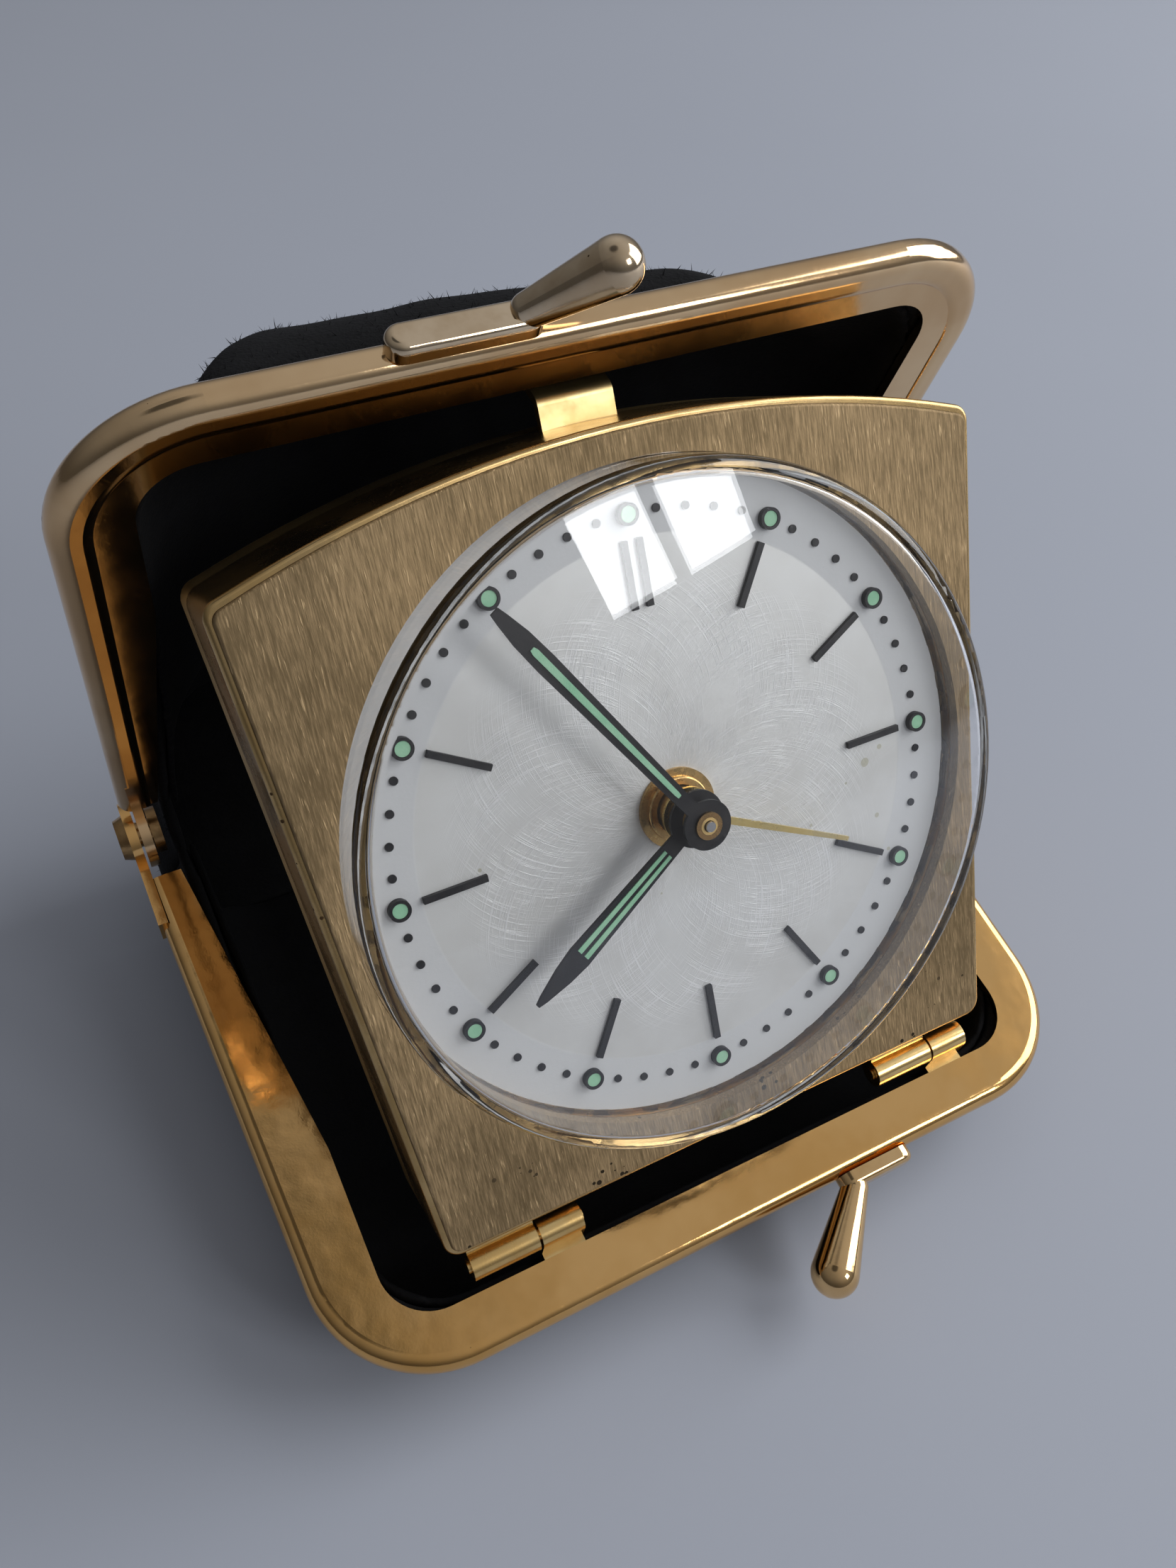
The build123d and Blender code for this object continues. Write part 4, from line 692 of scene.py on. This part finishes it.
@dataclass(frozen=True)
class PursePlane:
    """One purse frame's plane: the hinge point, the way to the bar and the way outward, in the side view."""

    hinge: tuple[float, float]
    to_bar: tuple[float, float]
    outward: tuple[float, float]

    def reach_and_depth(self, points: np.ndarray) -> tuple[np.ndarray, np.ndarray]:
        """Each point's reach from the hinge to the bar, and its depth outward from the frame's plane."""
        side = points[:, 1:] - np.array(self.hinge)
        return side @ np.array(self.to_bar), side @ np.array(self.outward)

    def point(self, across: float, reach: float, depth: float) -> Vector:
        """A point in the row frame, from its place along the hinge, its reach and its depth."""
        side = np.array(self.hinge) + reach * np.array(self.to_bar) + depth * np.array(self.outward)
        return Vector((across, side[0], side[1]))

    def slide(self, points: np.ndarray, amount: np.ndarray) -> None:
        """Move points in place towards the bar, each by its own amount."""
        points[:, 1:] += amount[:, None] * np.array(self.to_bar)

    def push(self, points: np.ndarray, amount: np.ndarray) -> None:
        """Move points in place outward, each by its own amount."""
        points[:, 1:] += amount[:, None] * np.array(self.outward)


def smooth_step(values: np.ndarray, low: float, high: float) -> np.ndarray:
    """Rise smoothly from 0 where values are low to 1 where they are high."""
    share = np.clip((values - low) / (high - low), 0, 1)
    return share * share * (3 - 2 * share)


def wave(points: np.ndarray, lengths: Sequence[float], phase: float) -> np.ndarray:
    """A slow unevenness from about -1 to 1 of waves with these lengths in metres, shifted by the phase."""
    total = np.zeros(len(points))
    for step, length in enumerate(lengths):
        turn = phase + WAVE_TURN * step
        flat = math.sin(turn)
        way = np.array((math.cos(turn), flat * math.cos(2 * turn), flat * math.sin(2 * turn)))
        total += np.sin(points @ way * (2 * math.pi / length) + 3 * turn)
    return total / len(lengths)


class NapGrower:
    """Grows suede nap on a soft piece with Geometry Nodes."""

    SEED = 11
    USUAL = {"Density": 1.5e6, "Length": 0.0008, "Thickness": 0.00005, "Lean": 0.9, "Tuft Scale": 650.0}
    LEAN_BOUNDS = ((-1.0, -1.0, -3.0), (1.0, 1.0, 3.0))
    SHORTEST = 0.35
    TUFT_RANGE = (0.35, 0.72)
    TUFT_LOW = 0.3

    def __init__(self, finish: Finish) -> None:
        """Build the tree once, with the finish of the fibres."""
        self.tree = bpy.data.node_groups.new("suede_nap", "GeometryNodeTree")
        face = self.tree.interface
        face.new_socket(name="Geometry", in_out="INPUT", socket_type="NodeSocketGeometry")
        self.sockets = {}
        for label, usual in self.USUAL.items():
            socket = face.new_socket(name=label, in_out="INPUT", socket_type="NodeSocketFloat")
            socket.default_value = usual
            self.sockets[label] = socket.identifier
        face.new_socket(name="Geometry", in_out="OUTPUT", socket_type="NodeSocketGeometry")
        self._wire(finish)

    def _wire(self, finish: Finish) -> None:
        """Join the nodes: points on the outside, a thin cone on each, real geometry at the end."""
        tree = NodeTree(self.tree)
        given = tree.add("NodeGroupInput").outputs
        outside = tree.fed("GeometryNodeInputNamedAttribute", {"Name": "outside"}, data_type="FLOAT")
        density = tree.fed("ShaderNodeMath", {0: given["Density"], 1: outside.outputs["Attribute"]},
                           operation="MULTIPLY")
        scatter = tree.fed("GeometryNodeDistributePointsOnFaces", {
            "Mesh": given["Geometry"], "Density": density.outputs[0], "Seed": self.SEED})
        fibre = tree.fed("GeometryNodeMeshCone", {
            "Vertices": 3, "Radius Top": 0.0, "Radius Bottom": given["Thickness"], "Depth": given["Length"],
        }, fill_type="NONE")
        lean = tree.fed("FunctionNodeRandomValue", {"Seed": self.SEED + 1}, data_type="FLOAT_VECTOR")
        for socket, bound in zip(lean.inputs, self.LEAN_BOUNDS):
            scaled = tree.fed("ShaderNodeVectorMath", {0: bound, "Scale": given["Lean"]}, operation="SCALE")
            tree.feed(socket, scaled.outputs[0])
        turned = tree.fed("FunctionNodeRotateRotation", {
            "Rotation": scatter.outputs["Rotation"], "Rotate By": lean.outputs[0]}, rotation_space="LOCAL")
        size = tree.fed("FunctionNodeRandomValue", {2: self.SHORTEST, 3: 1.0, "Seed": self.SEED + 2},
                        data_type="FLOAT")
        tuft = tree.fed("ShaderNodeTexNoise", {"Detail": 2.0, "Scale": given["Tuft Scale"]})
        raised = tree.fed("ShaderNodeMapRange", {
            0: tuft.outputs[0], 1: self.TUFT_RANGE[0], 2: self.TUFT_RANGE[1], 3: self.TUFT_LOW, 4: 1.0})
        grown = tree.fed("ShaderNodeMath", {0: size.outputs[1], 1: raised.outputs[0]}, operation="MULTIPLY")
        place = tree.fed("GeometryNodeInstanceOnPoints", {
            "Points": scatter.outputs["Points"], "Instance": fibre.outputs["Mesh"],
            "Rotation": turned.outputs["Rotation"], "Scale": grown.outputs[0]})
        real = tree.fed("GeometryNodeRealizeInstances", {"Geometry": place.outputs["Instances"]})
        paint = tree.fed("GeometryNodeSetMaterial", {
            "Geometry": real.outputs["Geometry"], "Material": finish.material})
        tree.fed("NodeGroupOutput", {"Geometry": paint.outputs["Geometry"]})

    def grow(self, piece: bpy.types.Object, name: str, **values: float) -> bpy.types.Object:
        """Make the nap on a soft piece's outside as a plain mesh, with values that differ from the usual."""
        carrier = bpy.data.objects.new(name, piece.data.copy())
        bpy.context.scene.collection.objects.link(carrier)
        grower = carrier.modifiers.new("nap", "NODES")
        grower.node_group = self.tree
        for label, value in values.items():
            grower[self.sockets[label]] = value
        graph = bpy.context.evaluated_depsgraph_get()
        mesh = bpy.data.meshes.new_from_object(carrier.evaluated_get(graph))
        carrier.modifiers.remove(grower)
        carrier.data = mesh
        return carrier


@dataclass
class SoftPurse:
    """The suede shells, their linings and the spine gusset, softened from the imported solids."""

    nodes: dict[str, bpy.types.Object]
    finishes: Finishes
    lower: PursePlane
    upper: PursePlane
    voxel: float = 0.00042
    half_width: float = 0.0305
    length: float = 0.047
    crown: float = 0.0006
    uneven: float = 0.00022
    draw_in: float = 0.30
    belly: float = 0.0017
    belly_start: float = 0.0026
    belly_middle: tuple[float, float] = (0.45, 0.55)
    belly_side: float = 0.65
    front_draw_in: float = 0.03
    sag: float = 0.22
    gather: float = 0.11
    gather_left: tuple[float, float] = (0.0235, 0.029)
    gather_right: tuple[float, float] = (0.011, 0.024)
    gather_depth: tuple[float, float] = (0.002, 0.006)
    rest_height: float = 0.0012
    hinge_clear: tuple[float, float] = (0.003, 0.016)
    deep_power: float = 1.4
    sag_side: tuple[float, float] = (-0.010, 0.024)
    wave_lengths: tuple[float, ...] = (0.021, 0.013, 0.0083, 0.0051)
    ruck: float = 0.00022
    ruck_length: float = 0.0062
    ruck_bend: float = 1.5
    ruck_waves: float = 90.0
    smooth_rounds: int = 6
    smooth_share: float = 0.5
    hollow_depth: float = 0.002
    spine_reach: float = 0.004
    spine_density: float = 4.5e5
    hem_dip: float = 0.0031
    hem_depth: float = 0.0065
    hem_reach: tuple[float, float] = (0.0395, 0.0425)
    hem_inner: tuple[float, float] = (0.0105, 0.0125)
    hem_outer: tuple[float, float] = (0.0222, 0.0242)

    def build(self) -> None:
        """Make every soft piece and set what it rides on."""
        grower = NapGrower(self.finishes.nap)
        soft = (
            ("lower_shell", self.lower, Body.BASE, self.finishes.suede, Slot.SUEDE, 0.4),
            ("upper_shell", self.upper, Body.LID, self.finishes.suede, Slot.SUEDE, 1.9),
            ("lower_lining", self.lower, Body.BASE, self.finishes.lining, Slot.LINING, 2.6),
            ("upper_lining", self.upper, Body.LID, self.finishes.lining, Slot.LINING, 3.8),
        )
        for node, plane, body, finish, slot, phase in soft:
            middle = plane.point(0.0, self.length / 2, self.hollow_depth)
            piece = self._soften(node, finish, middle, lambda points: self._tray(points, plane, phase, slot))
            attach(piece, body.value)
            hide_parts(node)
            LOG.info("%s replaces %s", piece.name, node)
            if slot is Slot.SUEDE:
                nap = grower.grow(piece, f"{node}_nap")
                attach(nap, body.value)
                LOG.info("%s has %d faces", nap.name, len(nap.data.polygons))
        self._gusset(grower)

    def _soften(self, node: str, finish: Finish, middle: Vector,
                shape: Callable[[np.ndarray], None]) -> bpy.types.Object:
        """Copy a soft solid, give it an even fine mesh, and reshape it.

        Args:
            node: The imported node.
            finish: The finish of the soft piece.
            middle: A point inside its hollow.
            shape: Moves the points in place.

        Returns:
            The soft piece.
        """
        piece = bpy.data.objects.new(f"soft_{node}", self.nodes[node].data.copy())
        bpy.context.scene.collection.objects.link(piece)
        weld = piece.modifiers.new("weld", "WELD")
        weld.merge_threshold = TINY
        even = piece.modifiers.new("even", "REMESH")
        even.mode = "VOXEL"
        even.voxel_size = self.voxel
        smooth = piece.modifiers.new("smooth", "SMOOTH")
        smooth.iterations = self.smooth_rounds
        smooth.factor = self.smooth_share
        graph = bpy.context.evaluated_depsgraph_get()
        mesh = bpy.data.meshes.new_from_object(piece.evaluated_get(graph))
        piece.modifiers.clear()
        piece.data = mesh
        points = np.empty(len(mesh.vertices) * 3)
        mesh.vertices.foreach_get("co", points)
        points = points.reshape(-1, 3)
        outside = self._outside(mesh, middle) * (points[:, 2] > self.rest_height)
        shape(points)
        mesh.vertices.foreach_set("co", points.ravel())
        attribute = mesh.attributes.new("outside", "FLOAT", "POINT")
        attribute.data.foreach_set("value", outside.astype(np.float32))
        mesh.polygons.foreach_set("use_smooth", np.ones(len(mesh.polygons), dtype=bool))
        mesh.materials.clear()
        mesh.materials.append(finish.material)
        mesh.update()
        return piece

    def _tray(self, points: np.ndarray, plane: PursePlane, phase: float, slot: Slot) -> None:
        """Draw the upper trays in, let them sag to one side and crown them; let the lower ones belly out."""
        if plane is self.upper and slot is Slot.LINING:
            self._dip_hem(points)
        reach, depth = plane.reach_and_depth(points)
        clear_of_hinge = smooth_step(reach, *self.hinge_clear)
        deep = np.clip(depth / max(depth.max(), TINY), 0, 1) ** self.deep_power * clear_of_hinge
        side = smooth_step(points[:, 0], *self.sag_side)
        rough = wave(points, self.wave_lengths, phase) * self.uneven * clear_of_hinge
        across = points[:, 0] / self.half_width
        along = (reach - self.length / 2) / (self.length / 2)
        middle = np.clip(1 - across ** 2, 0, 1) * np.clip(1 - along ** 2, 0, 1)
        if plane is self.upper:
            gathered = smooth_step(-points[:, 0], *self.gather_left)
            gathered += smooth_step(points[:, 0], *self.gather_right)
            gathered *= smooth_step(depth, *self.gather_depth) * clear_of_hinge
            points[:, 0] *= 1 - self.draw_in * deep
            plane.slide(points, -(self.front_draw_in * deep + self.gather * gathered) * reach)
            plane.push(points, self.crown * middle * deep + rough * deep - self.sag * side * deep * depth)
        else:
            points[:, 0] += np.sign(points[:, 0]) * (rough + self.belly * self._below_frame(points, depth))

    def _dip_hem(self, points: np.ndarray) -> None:
        """Lower the upper lining's hem where the clock's hinge knuckles stand when the purse is closed."""
        reach, depth = self.upper.reach_and_depth(points)
        away = np.abs(points[:, 0])
        beside = smooth_step(away, *self.hem_inner) * (1 - smooth_step(away, *self.hem_outer))
        share = beside * smooth_step(reach, *self.hem_reach) * np.clip(1 - depth / self.hem_depth, 0, 1)
        self.upper.push(points, self.hem_dip * share)

    def _below_frame(self, points: np.ndarray, depth: np.ndarray) -> np.ndarray:
        """Each point's share of a soft side's swell under its frame: none at the mouth, none at the floor."""
        lowest = depth.max()
        low, high = self.belly_middle
        swell = smooth_step(depth, self.belly_start, low * lowest)
        swell *= 1 - smooth_step(depth, high * lowest, lowest)
        return swell * smooth_step(np.abs(points[:, 0]), self.belly_side * self.half_width, self.half_width)

    @staticmethod
    def _outside(mesh: bpy.types.Mesh, middle: Vector) -> np.ndarray:
        """1 for points whose normals turn away from the middle of a hollow, 0 for points inside it."""
        points = np.array([vertex.co for vertex in mesh.vertices])
        normals = np.array([vertex.normal for vertex in mesh.vertices])
        return (((points - np.array(middle)) * normals).sum(axis=1) > 0).astype(np.float32)

    def _gusset(self, grower: NapGrower) -> None:
        """Make the soft spine in one piece, and its nap, rucked slightly, between the two frames."""
        node = "spine_gusset"
        low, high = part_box(node)

        def shape(points: np.ndarray) -> None:
            """Ruck the spine slightly along its length."""
            bend = self.ruck_bend * np.sin(points[:, 0] * self.ruck_waves)
            folds = np.sin((points[:, 2] - low.z) * (2 * math.pi / self.ruck_length) + bend)
            back = np.clip((points[:, 1] - (low.y + high.y) / 2) / (high.y - low.y) * 2, 0, 1)
            points[:, 1] += self.ruck * folds * back
            _, depth = self.lower.reach_and_depth(points)
            points[:, 0] += np.sign(points[:, 0]) * self.belly * self._below_frame(points, depth)

        piece = self._soften(node, self.finishes.suede, self.upper.point(0.0, self.spine_reach, 0.0), shape)
        nap = grower.grow(piece, f"{node}_nap", Density=self.spine_density)
        for part in (piece, nap):
            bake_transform(part)
        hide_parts(node)
        LOG.info("%s bends between the frames", piece.name)


@dataclass
class Studio:
    """The table, the window light and the camera at the photograph's viewing angle."""

    finishes: Finishes
    eye: tuple[float, float, float] = (-0.03307, -0.05971, 0.09710)
    sight: tuple[float, float, float] = (0.3364, 0.60234, -0.72393)
    upright: tuple[float, float, float] = (0.3110, 0.65459, 0.68913)
    lens: float = 28.457
    sensor: float = 36.0
    nearest: float = 0.005
    table_size: float = 6.0
    window_way: tuple[float, float, float] = (0.409, -0.737, 0.537)
    window_distance: float = 0.75
    pane: tuple[float, float] = (0.085, 0.20)
    pane_gap: float = 0.02
    pane_power: float = 0.46
    sky_way: tuple[float, float, float] = (0.85, -0.15, 0.50)
    sky_distance: float = 0.9
    sky_side: float = 0.7
    sky_power: float = 6.5
    wall: Colour = (0.15, 0.152, 0.16)
    ceiling: Colour = (0.44, 0.445, 0.46)
    wall_to_ceiling: tuple[float, float] = (0.05, 0.85)
    far_side: float = 0.45
    side_to_side: tuple[float, float] = (-0.7, 0.5)
    shaded_way: tuple[float, float, float] = (-0.20, 0.05, 0.98)
    shaded_edge: tuple[float, float] = (0.95, 0.99)
    shaded_share: float = 0.75

    def build(self) -> None:
        """Set the camera, table, lamps, room light and view."""
        self._camera()
        self._table()
        self._window()
        self._room()
        bpy.context.scene.view_settings.view_transform = "Standard"

    def _camera(self) -> None:
        """Stand the camera where the photograph was taken from."""
        data = bpy.data.cameras.new("camera")
        data.sensor_fit = "VERTICAL"
        data.sensor_height = self.sensor
        data.lens = self.lens
        data.clip_start = self.nearest
        camera = bpy.data.objects.new("camera", data)
        back = -Vector(self.sight).normalized()
        up = Vector(self.upright)
        up = (up - back * up.dot(back)).normalized()
        turn = Matrix((up.cross(back), up, back)).transposed()
        camera.matrix_world = Matrix.Translation(self.eye) @ turn.to_4x4()
        bpy.context.scene.collection.objects.link(camera)
        bpy.context.scene.camera = camera

    def _table(self) -> None:
        """Lay a plain pale table top under the purse."""
        half = self.table_size / 2
        mesh = bpy.data.meshes.new("table_top")
        corners = [(-half, -half, 0), (half, -half, 0), (half, half, 0), (-half, half, 0)]
        mesh.from_pydata(corners, [], [(0, 1, 2, 3)])
        mesh.materials.append(self.finishes.floor.material)
        table = bpy.data.objects.new("table_top", mesh)
        bpy.context.scene.collection.objects.link(table)

    def _window(self) -> None:
        """Hang the window's two panes in front to the right, and a soft sky light on the right."""
        way = Vector(self.window_way).normalized()
        side = Vector((0, 0, 1)).cross(way).normalized()
        step = side * (self.pane[0] + self.pane_gap) / 2
        middle = way * self.window_distance
        self._lamp("left_pane", middle - step, way, self.pane, self.pane_power)
        self._lamp("right_pane", middle + step, way, self.pane, self.pane_power)
        sky = Vector(self.sky_way).normalized()
        self._lamp("sky_light", sky * self.sky_distance, sky, (self.sky_side, self.sky_side), self.sky_power)

    @staticmethod
    def _lamp(name: str, place: Vector, way: Vector, size: tuple[float, float], power: float) -> None:
        """Hang one rectangular lamp, in metres and watts, that shines back along its way."""
        lamp = bpy.data.lights.new(name, "AREA")
        lamp.shape = "RECTANGLE"
        lamp.size, lamp.size_y = size
        lamp.energy = power
        lamp.color = LAMP_COLOUR
        hung = bpy.data.objects.new(name, lamp)
        hung.location = place
        hung.rotation_euler = way.to_track_quat("Z", "Y").to_euler()
        bpy.context.scene.collection.objects.link(hung)

    def _room(self) -> None:
        """Fill the room with soft grey: darker walls, a dim left side and a shaded patch overhead."""
        world = bpy.data.worlds.new("room")
        world.use_nodes = True
        world.node_tree.nodes.clear()
        tree = ShaderTree(world.node_tree)
        way = tree.add("ShaderNodeTexCoord").outputs["Generated"]
        across, _, up = tree.split(way)
        near = tree.fed("ShaderNodeVectorMath", {0: way, 1: Vector(self.shaded_way).normalized()},
                        operation="DOT_PRODUCT")
        shaded = tree.between(near.outputs["Value"], *self.shaded_edge, 1.0, 1.0 - self.shaded_share)
        level = tree.math("MULTIPLY", shaded, tree.between(across, *self.side_to_side, self.far_side, 1.0))
        tone = tree.mix(tree.between(up, *self.wall_to_ceiling), self.wall, self.ceiling)
        glow = tree.fed("ShaderNodeBackground", {"Color": tone, "Strength": level})
        tree.fed("ShaderNodeOutputWorld", {"Surface": glow.outputs[0]})
        bpy.context.scene.world = world


def purse_planes(joints: Sequence[dict[str, Any]]) -> tuple[PursePlane, PursePlane]:
    """The planes of the lower and upper purse frames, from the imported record's joints."""
    lid = next(joint for joint in joints if joint["name"] == "lid_hinge")
    hinge = tuple(lid["pos_m"][1:])
    tilt = math.radians(LOWER_TILT)
    rise = math.radians(lid["range_deg"][1]) - tilt
    lower = PursePlane(hinge, (-math.cos(tilt), -math.sin(tilt)), (math.sin(tilt), -math.cos(tilt)))
    upper = PursePlane(hinge, (-math.cos(rise), math.sin(rise)), (math.sin(rise), math.cos(rise)))
    return lower, upper


def main() -> None:
    """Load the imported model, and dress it."""
    logging.basicConfig(level=logging.INFO, format="%(name)s: %(message)s")
    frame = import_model()
    plane = DialPlane.of(frame["joints"])
    finishes = Finishes(SharedEffects(), plane)
    lower, upper = purse_planes(frame["joints"])
    Studio(finishes).build()
    Dresser(frame["nodes"], finishes).build()
    SoftPurse(frame["nodes"], finishes, lower, upper).build()


if __name__ == "__main__":
    main()
